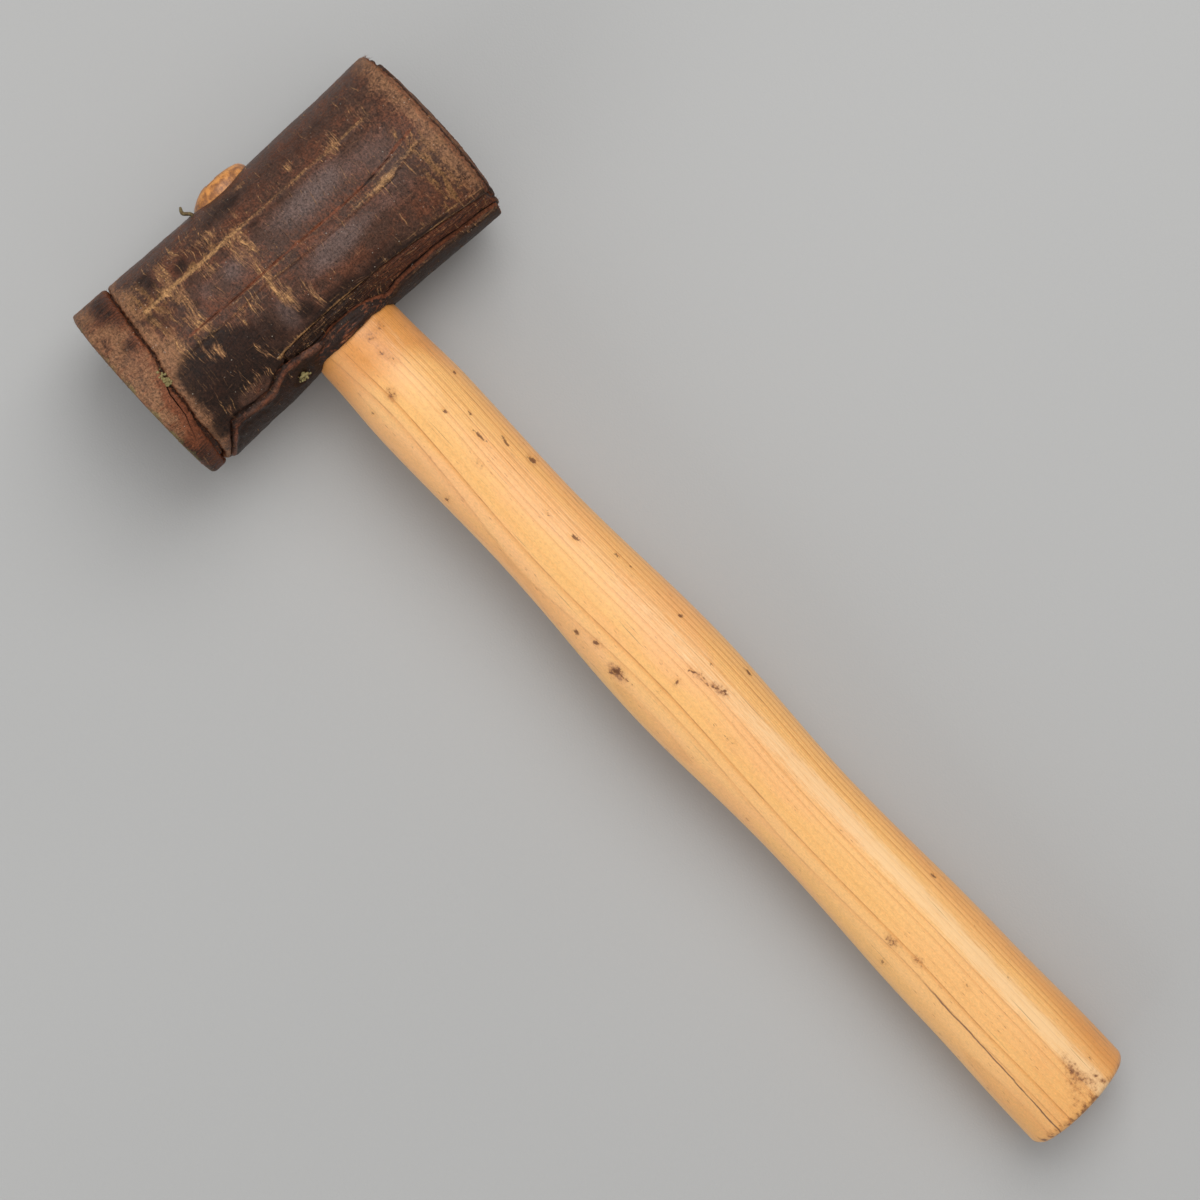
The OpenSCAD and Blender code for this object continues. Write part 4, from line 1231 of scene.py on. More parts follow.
class MALLET_OT_outer_sheet(bpy.types.Operator):
    """Build the outer sheet with its tear, open seam and lifted flap"""
    bl_idname = "mallet.outer_sheet"
    bl_label = "Outer sheet"

    def execute(self, context):
        s, lumps, rng = Sizes(context.scene), Lumps(7), np.random.default_rng(3)
        # Shares of the way along the sheet, closer together at its torn edge and at its rim.
        share = np.append(steps((0, 1.2, 0.2), (1.2, 86, 0.37), (86, 87.8, 0.25)) / 87.8, 1.0)
        outline = sheet_outline(s, lumps, fine_angles(0.014, 0.045), share)
        piece = outward(swept("outer_sheet_hide", outline, closed=True))
        combined(piece, seam_cutter(s, lumps), "DIFFERENCE")
        combined(piece, flap_solid(s, lumps), "UNION")
        combined(piece, lip_solid(s, lumps), "UNION")
        combined(piece, eye_cutter(s, s.eye_fit + 0.1), "DIFFERENCE")

        a = rng.uniform(-1.7, 1.6, 260)
        radius = s.head_r(8) - rng.uniform(0.3, 1.6, 260)
        edge_hairs(s, piece, a, tear_t(a, s.waist_r) + 0.5, radius, (0, -1, 0.2), 0.9, 1)
        a = rng.uniform(-1.8, 1.2, 420)
        radius = s.head_r(s.rim_t) - rng.uniform(0.5, 2.0, 420)
        edge_hairs(s, piece, a, s.rim_t, radius, (0, 1, 0.1), 1.1, 2)
        t = rng.uniform(34, 94, 260)
        radius = s.head_r(t) - rng.uniform(0.4, 1.2, 260)
        edge_hairs(s, piece, seam_angle(s, SEAM_UPPER, t), t, radius, (0.8, 0.1, -0.3), 1.0, 3)
        t = rng.uniform(8, 34, 160)
        radius = s.head_r(t) + rng.uniform(-0.2, 0.7, 160)
        edge_hairs(s, piece, flap_angle(s, t), t, radius, (-0.7, 0, 0.5), 0.9, 4)

        material = hide_finish("sheet_hide", context.scene.mallet_hide, 0.0)
        dressed_hide(piece, s, lumps, "outer_sheet", material)
        return {"FINISHED"}


def band_outline(s, lumps, angle):
    """For each angle the closed outline of the band's section: its outside, its torn edge, its bore and its face."""
    end = tear_t(angle, s.waist_r) - s.tear_w / 2 - 0.08 + frayed(lumps, angle, s.waist_r, 10.0, 0.26)
    t = end[:, None] * np.concatenate([np.linspace(0, 0.3, 12), np.linspace(0.3, 1, 24)[1:]])
    a = np.broadcast_to(angle[:, None], t.shape)
    p = s.around(a, s.waist_r, t)
    worn = rounded(t, s.rim_r * (1 + 0.4 * lumps.at(s.around(a, s.waist_r, 0 * t), 6)))
    h = 0.18 * lumps.at(p, 9, 2) + 0.09 * lumps.at(p, 1.8, 3) + 0.04 * lumps.at(p, 0.7) - worn
    h -= 0.45 * np.maximum(0, 1 - (end[:, None] - t) / 0.8) ** 2
    outer_r = s.head_r(t) + h
    t_in = end[:, None] * np.array([1.0, 0.5, 0.0])
    bore_r = s.bore_r(t_in)
    inner = s.around(a[:, :1], bore_r, t_in)
    tear = wall(lumps, angle, outer_r[:, -1], bore_r[:, 0], end, 0.4, 100.0)
    face = wall(lumps, angle, bore_r[:, -1], outer_r[:, 0], np.full(len(angle), 0.1), -0.1, 400.0)
    tear[..., 1] += s.face_y
    face[..., 1] = np.maximum(face[..., 1], -0.25) + s.face_y
    return np.concatenate([s.around(a, outer_r, t), tear, inner, face], axis=1)


def split_cutter(s, lumps):
    """The second split, as a solid to cut from the band. It closes towards the flat face."""
    line = np.array(SPLIT)
    run = steps((0, 1, 0.04))
    x, y = (np.interp(run, np.linspace(0, 1, len(line)), line[:, k]) for k in (0, 1))
    z = np.linspace(s.waist_r / 2, s.face_r + 2, 20)
    where = np.stack(np.broadcast_arrays(x[:, None], (y + s.face_y)[:, None], z), -1)
    half = np.abs(0.24 * (1 - run[:, None] * 0.85) + 0.06 * lumps.at(where, 0.8, 2))
    shift = 0.14 * lumps.at(where, 1.5, 2)
    low = where + np.stack([0 * half, shift - half, 0 * half], -1)
    high = where + np.stack([0 * half, shift + half, 0 * half], -1)
    return outward(swept("split_cut", np.concatenate([low, high[:, ::-1]], axis=1)))


class MALLET_OT_torn_band(bpy.types.Operator):
    """Build the band that the tear has parted from the sheet"""
    bl_idname = "mallet.torn_band"
    bl_label = "Torn band"

    def execute(self, context):
        s, lumps, rng = Sizes(context.scene), Lumps(19), np.random.default_rng(5)
        piece = outward(swept("torn_band_hide", band_outline(s, lumps, fine_angles(0.0122, 0.02)), closed=True))
        combined(piece, split_cutter(s, lumps), "DIFFERENCE")
        a = rng.uniform(-1.7, 1.6, 240)
        radius = s.head_r(8) - rng.uniform(0.3, 1.6, 240)
        edge_hairs(s, piece, a, tear_t(a, s.waist_r) - 0.5, radius, (0, 1, 0.2), 0.8, 6)
        a = rng.uniform(-1.9, 1.9, 320)
        radius = s.head_r(0) - rng.uniform(0.9, 2.0, 320)
        edge_hairs(s, piece, a, 0.3, radius, (0, -0.6, 0.2), 0.6, 7)
        material = hide_finish("band_hide", context.scene.mallet_hide, 37.0)
        dressed_hide(piece, s, lumps, "torn_band", material, band_marks)
        return {"FINISHED"}


# The wound strip.

class Winding:
    """The strip's way round the head: half circles round one of two centres, each half turn wider than the last."""

    def __init__(self, s):
        self.s = s
        self.pitch = (s.waist_r - s.sheet_t - s.sheet_fit - s.last_turn_t - s.core_r) / s.turns
        self.strip_t = self.pitch - s.strip_gap

    def turn(self, psi):
        """Inner radius of the strip and the place of its centre, at psi radians along it."""
        half = np.minimum(np.floor(psi / math.pi + 1e-9), 2 * self.s.turns)
        return self.s.core_r + half * self.pitch / 2, np.where(half % 2 == 0, 0, self.pitch / 2)

    def outer_r(self, psi, t):
        """Outer radius of the strip, which is pared down where it would stand out of the roll."""
        inner_r, centre = self.turn(psi)
        off = centre * np.sin(psi)
        reach = -centre * np.cos(psi) + np.sqrt(np.maximum(0, self.s.roll_r(t) ** 2 - off**2))
        return np.minimum(inner_r + self.strip_t, reach)

    def crown_t(self, r):
        """Where the crowned face lies at r from the middle, as a distance from the flat face."""
        share = np.clip(np.abs(r) / self.s.roll_r(self.s.rim_t), 0, 1)
        return self.s.shoulder_t + self.s.crown_h * np.sqrt(np.maximum(0, 1 - share**2.5))


def strip_section(s, lumps, way, psi, rows, relief=None, recess=0.0):
    """For each angle along the strip the closed outline of its section, from the flat face to the crowned one."""
    inner_r, centre = way.turn(psi)
    p0 = np.stack([psi * 3.0, inner_r, 0 * psi], -1)
    low_t = 0.12 + 0.14 * lumps.at(p0, 4, 2) ** 2 + 0.1 * np.abs(lumps.at(p0, 1.3))
    high_t = way.crown_t((inner_r + way.outer_r(psi, 0 * psi)) / 2) - 0.1
    high_t = high_t + 0.3 * lumps.at(p0 + 9, 3, 2) - 0.12 * np.abs(lumps.at(p0 + 5, 1.1))
    high_t = high_t - recess * ramp(np.abs(np.cos(psi)), 1, 0.85)
    t = low_t[:, None] + (high_t - low_t)[:, None] * rows
    a = np.broadcast_to(psi[:, None], t.shape)
    in_r = np.broadcast_to(inner_r[:, None], t.shape)
    out_r = np.maximum(way.outer_r(a, t), in_r + 0.25)
    from_end = np.minimum(t - low_t[:, None], high_t[:, None] - t)
    bevel = 0.28 * np.maximum(0, 1 - from_end / 0.4) ** 2

    def at(radius, height):
        x = -(centre[:, None] + radius * np.cos(a[:, :1]))
        z = radius * np.sin(a[:, :1])
        return np.stack(np.broadcast_arrays(x, height + s.face_y, z), -1)

    def end(height, seed, sign, column, share):
        """A rough end of the strip, across its thickness."""
        low, high = (in_r + bevel)[:, column, None], (out_r - bevel)[:, column, None]
        r = low + (high - low) * share
        where = np.stack(np.broadcast_arrays(psi[:, None] * r, r * 2.5, np.full_like(r, seed)), -1)
        arched = 0.16 * (4 * share * (1 - share))
        return at(r, height[:, None] + sign * (arched + 0.1 * lumps.at(where, 0.8, 2)))

    outer = at(out_r - bevel + (relief(a, t) if relief else 0), t)
    inner = at(in_r + bevel, t)[:, ::-1]
    across = np.linspace(0, 1, 7)[1:-1]
    high_end, low_end = end(high_t, 20.0, 1, -1, across[::-1]), end(low_t, 40.0, -1, 0, across)
    return np.concatenate([outer, high_end, inner, low_end], axis=1)


def terraces(s, lumps, a, t):
    """Layers that show in the open seam, from its upper edge down to the crack at its lower edge."""
    angle = a - TURN * s.turns - math.pi / 2
    p = s.around(angle, s.waist_r, t)
    above, below = seam_sides(s, angle, t)
    upper = 0.3 * lumps.at(p * (1, 0.25, 1), 2, 2) - above
    lower = 0.2 * lumps.at(p * (1, 0.2, 1) + 40, 3) - below
    high = s.sheet_t + s.sheet_fit - 0.5
    high = high - 0.4 * ramp(upper, 2.0, 2.3) - 0.35 * ramp(upper, 4.1, 4.4) - 0.07 * upper
    high += 0.55 * np.abs(lumps.at(p * (1, 0.08, 1), 1.1, 2)) + 0.25 * lumps.at(p * (1, 0.1, 1), 0.8)
    high += 0.1 * lumps.at(p, 0.9, 2) + 0.25 * lumps.at(p * (1, 0.5, 1), 5)
    shown = ramp(upper, 0.1, 0.35) * ramp(lower, 0.25, 0.9) * ramp(t, 31, 34)
    return np.maximum(0, high) * shown + 0.05 * lumps.at(p, 1.2, 2)


def roll_marks(s, lumps, way, p):
    """What the hide's finish reads, for points of the wound strip, with painted shade in the open seam and under the
    crowned rim.
    """
    t = p[:, 1] - s.face_y
    radius, angle = np.hypot(p[:, 0], p[:, 2]), np.arctan2(p[:, 0], p[:, 2])
    ends = near(t / 0.9, 1) + ramp(t, s.shoulder_t - 1.5, s.shoulder_t)
    share = ((radius - s.core_r) / (way.pitch / 2)) % 1
    stands_out = radius - s.roll_r(t)
    above, below = seam_sides(s, angle, t)
    in_seam = ramp(above, 1, 0) * ramp(below, 1, 0) * ramp(t, 30, 33) * ramp(stands_out, -1.4, -0.4)
    # Painted shade: darker where the strip lies deeper in the open seam, and in the crack along its lower edge.
    deep = 0.9 * in_seam * ramp(stands_out, 0.7, 0.2) + 0.7 * near(below + 0.2, 0.6) * in_seam
    streak = lumps.at(p * (1, 0.12, 1), 0.9, 2)
    line = 0.45 * near(above + 2.0, 0.3) + 0.45 * near(above + 4.2, 0.3) + 0.5 * ramp(streak, 0.35, 0.8)
    # At the strip's ends, a tan line on the outer part of each turn: partly frayed fibres, partly a painted highlight
    # on the rounded end.
    line = in_seam * line + 0.5 * ends * ramp(share, 0.6, 1.0)
    # Painted shade on the last turn, down in the gap under the sheet's crowned rim.
    groove = 1.5 * ramp(t, s.rim_t - 4, s.rim_t - 1) * ramp(radius, 21.2, 21.5)
    dark = in_seam * (1.15 + 0.4 * ramp(t, 70, 45) + 0.6 * ramp(streak, -0.1, -0.6)) + groove + 0.3 * ends
    layer = 0.45 * in_seam * ramp(t, 45, 70) + 0.3 * ends * share
    return (
        (0.25 * ends + 0.3 * in_seam, 0.45 * ends, dark, deep),
        (0.35 * ends, line, 0.15 * ends, layer),
        (0.3 * ends, 0 * ends, 0.5 * in_seam),
    )


class MALLET_OT_hide_roll(bpy.types.Operator):
    """Build the long strip of hide, wound on itself, that fills the head"""
    bl_idname = "mallet.hide_roll"
    bl_label = "Wound hide"

    def execute(self, context):
        s, lumps = Sizes(context.scene), Lumps(31)
        way = Winding(s)
        # Each half turn ends just short of the next, and is meshed finely only where its edges are rounded.
        tiny = 1e-6
        end_rows = np.array([0.0, 0.002, 0.005, 0.012])
        rows = np.concatenate([end_rows, [0.2, 0.4, 0.6, 0.8], 1 - end_rows[::-1]])
        sections = []
        for half in range(2 * s.turns):
            count = max(14, round(math.pi * (s.core_r + half * way.pitch / 2 + 1) / 0.7))
            psi = half * math.pi + np.clip(np.linspace(0, math.pi, count + 1), tiny, math.pi - tiny)
            sections.append(strip_section(s, lumps, way, psi, rows))
        piece = outward(swept("hide_roll_strip", np.concatenate(sections)))

        # The last half turn shows in the seam. Straight up is a quarter turn past its start, and the seam beyond it.
        rows = np.concatenate([end_rows[:-1], steps((0.012, 0.3, 0.02), (0.3, 0.988, 0.005)), 1 - end_rows[::-1]])
        psi = steps((tiny, 2.0, 0.05), (2.0, 2.95, 0.0105), (2.95, math.pi - tiny, 0.03))
        psi = 2 * s.turns * math.pi + np.append(psi, math.pi - tiny)
        outline = strip_section(s, lumps, way, psi, rows, lambda a, t: terraces(s, lumps, a, t), 1.7)
        last = outward(swept("last_turn", outline))
        for part in (piece, last):
            combined(part, eye_cutter(s, s.eye_fit + 0.05), "DIFFERENCE")
        joined(piece, last)
        p = points_of(piece)
        radius = np.hypot(p[:, 0], p[:, 2])
        around = np.arctan2(p[:, 0], p[:, 2]) * radius
        write_places(piece, np.stack([around, p[:, 1] - s.face_y, radius * 2.0], -1))
        write_hide(piece, *roll_marks(s, lumps, way, p))
        lay(piece, s)
        material = hide_finish("wound_hide", context.scene.mallet_hide, 71.0)
        finished(piece, "hide_roll", material)
        return {"FINISHED"}


# The handle, its wedge and the nails.

# Nicks in the varnish, in the handle's frame: along, across, half length, half width, turn in degrees, depth, stain.
NICKS = (
    (64, 5.3, 2.6, 0.45, 4, 0.25, 0.3), (69, 9, 1.8, 0.4, -12, 0.15, 0.4), (77, 10.7, 1.3, 0.7, 10, 0.2, 0.7),
    (98.5, 5.2, 1.6, 0.55, 6, 0.25, 0.4), (58.3, 7.4, 0.7, 0.4, 0, 0.15, 0.2),
    (53.5, 3.2, 0.8, 0.6, 20, 0.12, 0.5), (41.5, -3.5, 1.2, 1.0, 30, 0.05, 0.85),
    (48, 11.6, 0.8, 0.4, 0, 0.12, 0.3), (68.5, 0.3, 1.2, 0.4, 8, 0.04, 0.6),
    (89.3, 4.2, 2.4, 0.25, -38, 0.06, 0.4), (130.3, 10.8, 0.7, 0.6, 0, 0.18, 0.3),
    (115.5, -10.9, 0.8, 0.6, 20, 0.15, 0.5), (120.7, -9.1, 1.0, 0.6, 30, 0.12, 0.6),
    (129.3, -10.5, 1.6, 0.8, 60, 0.15, 0.9), (131.5, -10.2, 4.2, 0.2, 10, 0.1, 0.3),
    (141.3, -1.3, 0.7, 0.7, 0, 0.12, 0.6), (142.2, 3.4, 1.8, 0.3, 24, 0.12, 0.5),
    (145.6, 4.2, 2.2, 0.25, -14, 0.1, 0.4), (149.3, 4.9, 1.7, 0.3, 30, 0.12, 0.5),
    (151.3, 5.8, 0.9, 0.4, -30, 0.14, 0.5), (41.6, -10.1, 0.6, 0.4, 0, 0.1, 0.4),
    (144.1, 8.1, 0.9, 0.3, -8, 0.12, 0.3), (152.3, 13.4, 1.5, 0.35, 0, 0.15, 0.4),
    (69.6, -11.4, 0.7, 0.5, 0, 0.1, 0.5), (108.7, 9.7, 1.0, 0.3, 0, 0.1, 0.4),
    (112.7, 10.2, 0.8, 0.3, 0, 0.1, 0.4), (225.2, -6.8, 2, 0.6, 10, 0.04, 0.8),
    (276, 4.6, 3, 0.45, -8, 0.03, 0.5), (280, 3.2, 3, 0.45, 8, 0.03, 0.6), (284, 4.6, 2.5, 0.5, 0, 0.04, 0.6),
    (283, 1.3, 2.5, 0.45, -10, 0.03, 0.6), (286, 7, 1.5, 0.5, 10, 0.04, 0.5),
    (286, -1.2, 1.5, 0.5, 0, 0.04, 0.6), (281, 9, 1.6, 0.4, 5, 0.03, 0.4), (155, -2, 7, 0.16, 1, 0.1, 0.3),
    (162, -1.6, 0.9, 0.3, 0, 0.1, 0.4), (140.1, -5.6, 0.6, 0.5, 0, 0.08, 0.4),
    (221, 12, 1.2, 0.4, 5, 0.1, 0.4), (196, 3, 0.6, 0.35, 0, 0.08, 0.4), (252, 8, 1.0, 0.3, -10, 0.06, 0.4),
    (228, -12, 0.7, 0.5, 0, 0.1, 0.5), (246, -1, 0.8, 0.6, 0, 0.03, 0.5),
    (233, -5.6, 1.6, 0.5, 20, 0.03, 0.7), (27.6, 6, 1.6, 0.5, 70, 0.05, 0.4),
    (28.2, 2.4, 1.5, 0.5, 55, 0.04, 0.5), (32.4, 1.6, 0.9, 0.6, 0, 0.04, 0.4),
    (35.6, 2.6, 1.5, 0.5, 15, 0.03, 0.5), (31, -2.6, 1, 0.5, 60, 0.03, 0.5),
)


def domed(outline, end, rise):
    """Outlines of an end of the handle, from near its own outline in towards its middle, which rises by rise."""
    share = np.array([0.985, 0.96, 0.92, 0.86, 0.78, 0.68, 0.55, 0.4, 0.25, 0.12])[:, None, None]
    across = outline[:, 1:] * share
    return np.concatenate([np.broadcast_to(end + rise * (1 - share**2), (*across.shape[:2], 1)), across], axis=2)


def handle_outlines(s):
    """Outlines of the handle in its own frame, from the middle of the stub's end to the middle of the butt's."""
    ring = steps((-1.75, 1.75, 0.032), (1.75, TURN - 1.75, 0.07))
    straight = steps((-s.stub_end + s.end_r, s.butt_end - s.end_r, 0.55))
    bend = np.arcsin(np.linspace(0, 1, 7))
    worn_x, worn_in = s.end_r * (1 - np.sin(bend)), s.end_r * (1 - np.cos(bend))
    x = np.concatenate([(-s.stub_end + worn_x)[:0:-1], straight, s.butt_end - worn_x])
    inset = np.concatenate([worn_in[:0:-1], 0 * straight, worn_in])
    width = s.handle_w(x) / 2
    depth = width * s.handle_oval(x)
    across, up = (width - inset)[:, None] * np.sin(ring), (depth - inset)[:, None] * np.cos(ring)
    grid = np.stack(np.broadcast_arrays(x[:, None], across, up), -1)
    stub, butt = domed(grid[0], -s.stub_end, -s.dome_h)[::-1], domed(grid[-1], s.butt_end, s.dome_h)
    return np.concatenate([stub, grid, butt])


def handle_wear(lumps, p):
    """How far points of the handle are dented, how nicked they are, and how stained round the nicks."""
    top = p[:, 2] > 0
    dents = 0.05 * lumps.at(p * (0.3, 1, 1), 6, 2) + 0.012 * lumps.at(p * (0.15, 1, 1), 0.7, 2)
    nick = stain = 0
    for along, across, long, wide, turn, deep, soak in NICKS:
        c, q = math.cos(math.radians(turn)), math.sin(math.radians(turn))
        u, v = p[:, 0] - along, p[:, 1] - across
        here = near(np.hypot((u * c + v * q) / long, (v * c - u * q) / wide), 1) * top
        dents -= deep * here
        nick = nick + here * min(1, 0.3 + 5 * deep)
        stain = stain + soak * near(np.hypot(u / (long + 1.5), v / (wide + 1.2)), 1) * top
    return dents, nick, stain


def wear_ends(s, p):
    """Moves points of the handle, to wear one corner of its stub and to slope its butt."""
    far = ramp(p[:, 0], -s.stub_end + 5, -s.stub_end + 1)
    p[:, 0] += 1.7 * np.clip((-p[:, 1] - 2.5) / 6, 0, 1.2) ** 1.4 * far
    slope = 0.045 * (p[:, 1] + s.handle_w(p[:, 0]) / 2)
    p[:, 0] -= slope * ramp(p[:, 0], s.butt_end - 16, s.butt_end - 4)


def wood_marks(s, lumps, p, nick, stain):
    """What the wood's finish reads, for points of the handle in its own frame."""
    x, y = p[:, 0], p[:, 1]
    from_neck, from_butt, from_stub = x - s.neck_at, s.butt_end - x, x + s.stub_end
    ends = ramp(x, s.butt_end - 0.9, s.butt_end + 0.1) + ramp(x, -s.stub_end + 1.2, -s.stub_end)
    rim = near(from_butt / 3, 1) * ramp(from_butt, 0.1, 0.9) * ramp(lumps.at(p * (0.3, 1, 1), 1.3, 2), -0.4, 0.4)
    stain = stain + 0.35 * near(from_neck / 1.6, 1) + 1.5 * rim
    stain = stain + 1.2 * near((from_stub - s.end_r) / 1.8, 1) * (1 + lumps.at(p, 2))
    # Near the neck the darker amber is partly a stain, partly painted shade and warm light reflected from the hide.
    dark = 1.25 * near(from_neck / 11, 1) * (0.55 + 0.45 * ramp(y, -14, 8)) + 0.5 * near(from_butt / 30, 1)
    dark = dark + 1.8 * ramp(x, 0, -20) + 0.4 * ramp(y / s.handle_w(x), 0.2, 0.46) * ramp(x, 290, 120)
    dark = dark + 0.4 * ramp(y, 9.5, 13) * ramp(x, 165, 225)
    return nick, stain, ends, dark


def kerf_cutter(s):
    """The saw cut that the wedge fills, as a solid to cut from the handle."""
    thick, thin = s.wedge_t / 2 + s.wedge_fit, s.wedge_tip_t / 2 + s.wedge_fit
    tip = -s.stub_end + s.wedge_len + s.wedge_fit
    half = [(-s.stub_end - s.dome_h - 1, thick), (-s.stub_end, thick), (tip, thin)]
    outline = [(x, -y) for x, y in half] + half[::-1]
    side = s.wedge_w / 2 + s.wedge_fit
    kerf = [np.column_stack([outline, np.full(len(outline), z)]) for z in (-side, side)]
    return outward(swept("kerf", s.from_handle(np.stack(kerf))))


class MALLET_OT_handle(bpy.types.Operator):
    """Build the handle from its stub to its butt"""
    bl_idname = "mallet.handle"
    bl_label = "Handle"

    def execute(self, context):
        s, lumps = Sizes(context.scene), Lumps(43)
        piece = outward(swept("handle_wood", handle_outlines(s)))
        p = points_of(piece)
        radial = p * (0, 1, 1)
        radial /= np.maximum(np.linalg.norm(radial, axis=1, keepdims=True), 1e-6)
        dents, nick, stain = handle_wear(lumps, p)
        wear_ends(s, p)
        on_side = ramp(np.minimum(p[:, 0] + s.stub_end, s.butt_end - p[:, 0]), 0.3, 2)
        moved = p + radial * (dents * on_side)[:, None]
        write_marks(piece, "marks", wood_marks(s, lumps, p, nick, stain))
        write_places(piece, p)
        place_points(piece, s.from_handle(moved))
        combined(piece, kerf_cutter(s), "DIFFERENCE")
        lay(piece, s)
        finished(piece, "handle", wood_finish("handle_wood", context.scene.mallet_wood), 50)
        return {"FINISHED"}


class MALLET_OT_wedge(bpy.types.Operator):
    """Give the packed wedge its bare wood"""
    bl_idname = "mallet.wedge"
    bl_label = "Wedge"

    def execute(self, context):
        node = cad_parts["handle_wedge"]
        node.data.materials.clear()
        node.data.materials.append(wedge_finish("wedge_wood", context.scene.mallet_wood))
        return {"FINISHED"}


def tube(name, path, radius, lumps, rough, sides=20):
    """A round, pitted wire along a path, with one radius for each point."""
    path = np.asarray(path, float)
    along = np.gradient(path, axis=0)
    along /= np.linalg.norm(along, axis=1, keepdims=True)
    across = np.cross(along, (0.0, 0.0, 1.0))
    across /= np.linalg.norm(across, axis=1, keepdims=True)
    up = np.cross(across, along)
    ring = np.linspace(0, TURN, sides, endpoint=False)[None, :, None]
    out = np.cos(ring) * across[:, None] + np.sin(ring) * up[:, None]
    r = np.asarray(radius)[:, None, None]
    points = path[:, None] + out * r
    points += out * np.minimum(1, r / 0.3) * rough * lumps.at(points, 0.9, 2)[..., None]
    return outward(swept(name, points))


def crusts(centre, spread, size, count, seed, lumps):
    """A heap of rough grains of crust round a nail's head."""
    rng = np.random.default_rng(seed)
    lat, lon = np.linspace(0.02, math.pi - 0.02, 12)[:, None], np.linspace(0, TURN, 18, endpoint=False)
    ball = np.stack(np.broadcast_arrays(np.sin(lat) * np.cos(lon), np.sin(lat) * np.sin(lon), np.cos(lat)), -1)
    grains = []
    for _ in range(count):
        at = np.array(centre) + rng.normal(0, 1, 3) * spread
        grain = ball * size * rng.uniform(0.45, 1.0) * rng.uniform(0.6, 1.0, 3)
        grain = grain + ball * (0.3 * size * lumps.at(grain + at * 3, 0.5, 2))[..., None]
        grains.append(outward(swept("crust", at + grain)))
    return joined(*grains)


def seam_nail(s):
    """The seam nail's head, and the points and radii along it: its head, its shank, and a tip with two bends."""
    nail_r, head_r = s.nail_d / 2, s.nail_head_d / 2
    start = s.around(NAIL_DIR, s.head_r(NAIL_T) + s.flap_h * math.cos(FLAP_DIR - NAIL_DIR), NAIL_T)
    reach = s.taper_w(-s.waist_r) / 2 + s.eye_fit + s.nail_wall + s.nail_fit + nail_r
    exit_y = s.face_y + NAIL_EXIT_T
    exit_z = math.sqrt(max(0, reach**2 - (exit_y - s.eye_y + s.waist_r * math.tan(s.lean)) ** 2))
    stop = np.array([-math.sqrt(s.head_r(NAIL_EXIT_T) ** 2 - exit_z**2), exit_y, exit_z])
    way = (stop - start) / np.linalg.norm(stop - start)
    aside = np.array([way[1], -way[0], 0]) / math.hypot(way[0], way[1])
    if aside[1] > 0:
        aside = -aside
    shank = [start + (stop - start) * k for k in np.linspace(0.1, 1, 12)]
    path = [start, start + way * s.nail_head_t, start + way * (s.nail_head_t + 0.1), *shank]
    radii = [head_r, head_r * 0.96, *[nail_r] * (len(shank) + 1)]
    at, turn = stop, 0.0
    for total, run in ((s.first_bend, s.tip_len), (-s.last_bend, 0.6 * s.nail_d)):
        for _ in range(8):
            turn += total / 8
            at = at + (way * math.cos(turn) + aside * math.sin(turn)) * s.bend_r * abs(total) / 8
            path.append(at)
            radii.append(nail_r * 0.72)
        at = at + (way * math.cos(turn) + aside * math.sin(turn)) * run
        path.append(at)
        radii.append(nail_r * 0.7)
    radii[-1] = nail_r * 0.45
    return start, path, radii


def band_nail(s):
    """The band nail's head, and the points and radii along it, straight down."""
    x, t = BAND_NAIL
    top = np.array([x, s.face_y + t, s.head_r(t)])
    downs = (0.6, s.nail_head_t + 0.4, s.nail_head_t + 0.45, 3, 8, 13, s.band_nail_len)
    # Each point lies a thousandth further along the head, since a tube can't run exactly upright.
    path = [top + (0, 0.001 * k, -down) for k, down in enumerate(downs)]
    return top, path, [s.nail_head_d / 2 * 0.8] * 2 + [s.nail_d / 2] * 5


class MALLET_OT_nails(bpy.types.Operator):
    """Build both nails, with the crust on their heads"""
    bl_idname = "mallet.nails"
    bl_label = "Nails"

    def execute(self, context):
        s, lumps = Sizes(context.scene), Lumps(53)
        material = nail_finish("nail_brass", context.scene.mallet_hide)
        head, path, radii = seam_nail(s)
        piece = tube("seam_nail_brass", path, radii, lumps, 0.1)
        joined(piece, crusts(head * 1.005, (0.3, 0.9, 0.55), 0.42, 22, 5, lumps))
        write_marks(piece, "marks", (ramp(np.linalg.norm(points_of(piece) - head, axis=1), 4, 2) + 0.3,))
        lay(piece, s)
        finished(piece, "seam_nail", material, 60)

        head, path, radii = band_nail(s)
        piece = tube("band_nail_brass", path, radii, lumps, 0.3)
        joined(piece, crusts(head + (-1.1, 0.2, -0.15), (1.2, 0.42, 0.12), 0.46, 26, 8, lumps))
        write_marks(piece, "marks", (ramp(points_of(piece)[:, 2], head[2] - 2, head[2] - 0.5),))
        lay(piece, s)
        finished(piece, "band_nail", material, 60)
        return {"FINISHED"}


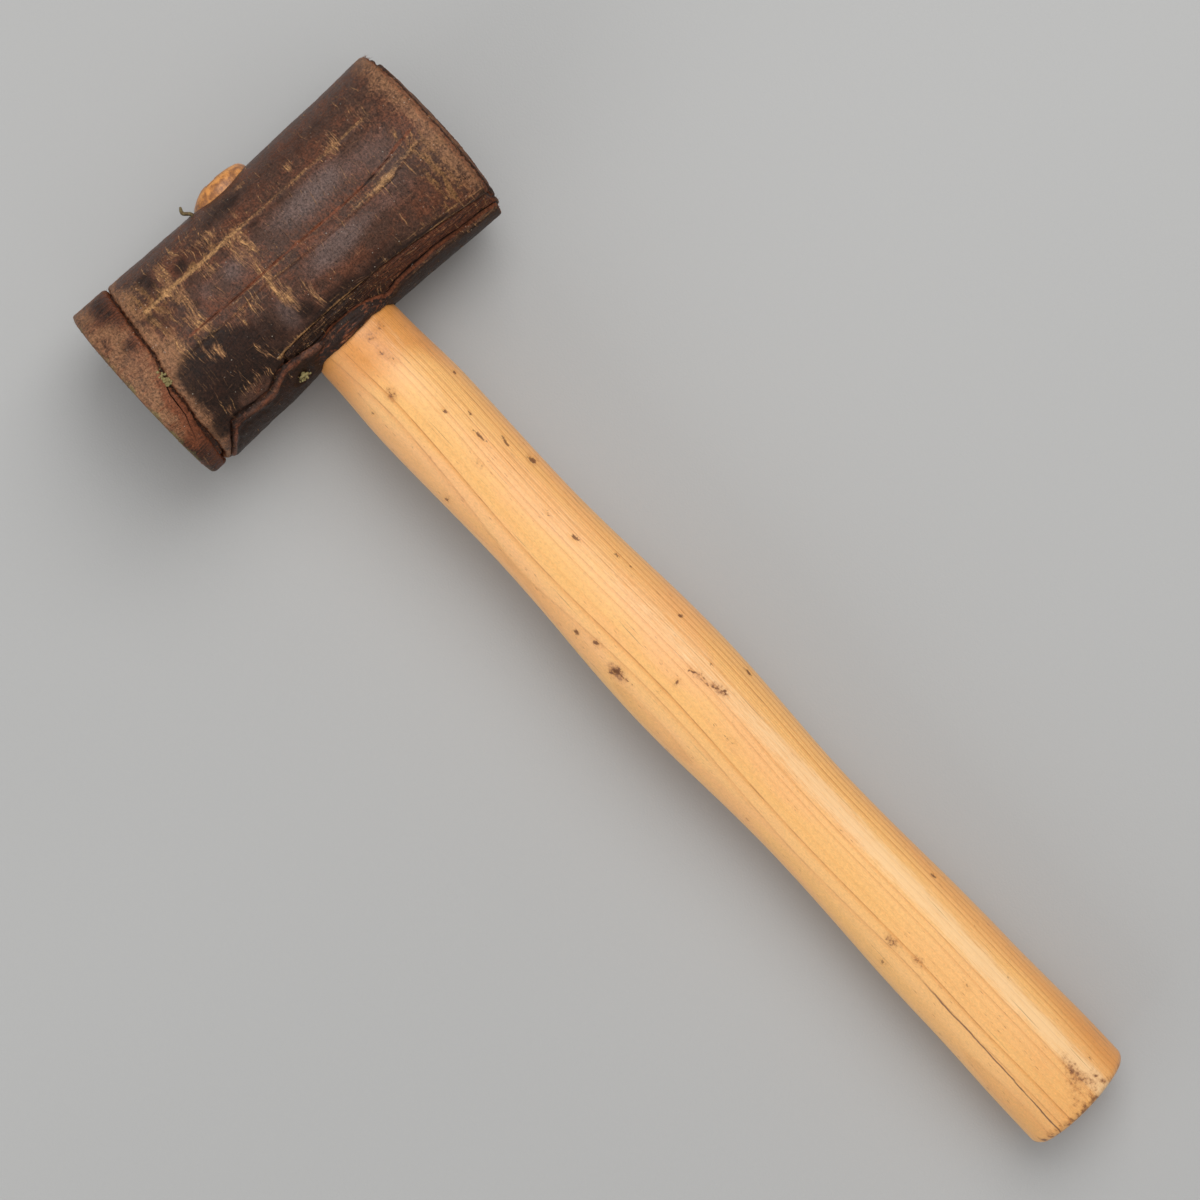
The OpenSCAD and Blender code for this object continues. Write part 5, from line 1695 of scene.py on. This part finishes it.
class MALLET_OT_stage(bpy.types.Operator):
    """Set up the floor, the light and the camera"""
    bl_idname = "mallet.stage"
    bl_label = "Stage"

    def execute(self, context):
        scene, st = context.scene, context.scene.mallet_stage
        self.lay_floor(st)
        self.hang_lamps(scene, st)
        world = bpy.data.worlds.new("room")
        world.use_nodes = True
        background = world.node_tree.nodes["Background"]
        background.inputs["Color"].default_value = (1, 1, 1, 1)
        background.inputs["Strength"].default_value = st.world
        scene.world = world
        camera = bpy.data.objects.new("camera", bpy.data.cameras.new("camera"))
        camera.location = (st.camera_x, st.camera_y, st.camera_z)
        camera.rotation_euler = (0, 0, st.turn)
        camera.data.sensor_width = SENSOR
        camera.data.lens = SENSOR * (st.camera_z - Sizes(scene).lift * MM) / st.view_w
        scene.collection.objects.link(camera)
        scene.camera = camera
        scene.view_settings.view_transform = "Standard"
        return {"FINISHED"}

    def lay_floor(self, st):
        side = FLOOR_SIZE / 2
        corners = [(-side, -side, 0), (side, -side, 0), (side, side, 0), (-side, side, 0)]
        floor = new_piece("floor", corners, [[0, 1, 2, 3]])
        f = Finish("floor_grey", Specular_IOR_Level=0.2, Roughness=0.85)
        place = f.add("TexCoord", {}, {}, "Object")
        haze = f.noise(place, 0.35, 2, 0.5)
        tint = f.mixed(tuple(st.floor), tuple(c * 0.9 for c in st.floor), haze.ramped(0.35, 0.75, 0, 0.5))
        f.paint(Base_Color=tint, Normal=f.bump(f.noise(place, 0.0006, 2, 0.5), 0.00004))
        floor.data.materials.append(f.material)

    def hang_lamps(self, scene, st):
        """Soft lamps, each with its place, its size and its strength. All of them face the mallet."""
        for name, where, size, power in (
            ("key", (-0.35, 0.5, 0.95), 0.8, st.key),
            ("top", (-0.2, 0.15, 1.5), 1.0, st.key * 0.8),
            ("fill", (0.0, -0.9, 0.4), 0.8, st.fill),
        ):
            lamp = bpy.data.objects.new(name, bpy.data.lights.new(name, "AREA"))
            lamp.data.size, lamp.data.energy = size, power
            lamp.location = where
            lamp.rotation_euler = (Vector(where) - Vector((0, 0, 0.02))).to_track_quat("Z", "Y").to_euler()
            scene.collection.objects.link(lamp)


OPERATORS = (
    MALLET_OT_stage, MALLET_OT_handle, MALLET_OT_wedge, MALLET_OT_hide_roll, MALLET_OT_outer_sheet,
    MALLET_OT_torn_band, MALLET_OT_nails,
)
GROUPS = {
    "mallet_head": HeadSizes,
    "mallet_handle": HandleSizes,
    "mallet_nail": NailSizes,
    "mallet_hide": HideLook,
    "mallet_wood": WoodLook,
    "mallet_stage": StageSettings,
}


class MALLET_PT_panel(bpy.types.Panel):
    """Lists the mallet's pieces, sizes and colours"""
    bl_idname = "MALLET_PT_panel"
    bl_label = "Rawhide mallet"
    bl_space_type = "VIEW_3D"
    bl_region_type = "UI"
    bl_category = "Mallet"

    def draw(self, context):
        for operator in OPERATORS:
            self.layout.operator(operator.bl_idname)
        for name, group in GROUPS.items():
            box = self.layout.box()
            box.label(text=group.__doc__)
            for prop in group.__annotations__:
                box.prop(getattr(context.scene, name), prop)


def register():
    for kind in (*GROUPS.values(), *OPERATORS, MALLET_PT_panel):
        bpy.utils.register_class(kind)
    for name, group in GROUPS.items():
        setattr(bpy.types.Scene, name, PointerProperty(type=group))


def unregister():
    for name in GROUPS:
        delattr(bpy.types.Scene, name)
    for kind in (MALLET_PT_panel, *reversed(OPERATORS), *reversed(list(GROUPS.values()))):
        bpy.utils.unregister_class(kind)


def main():
    register()
    for operator in OPERATORS:
        group, name = operator.bl_idname.split(".")
        getattr(getattr(bpy.ops, group), name)()


if __name__ == "__main__":
    main()
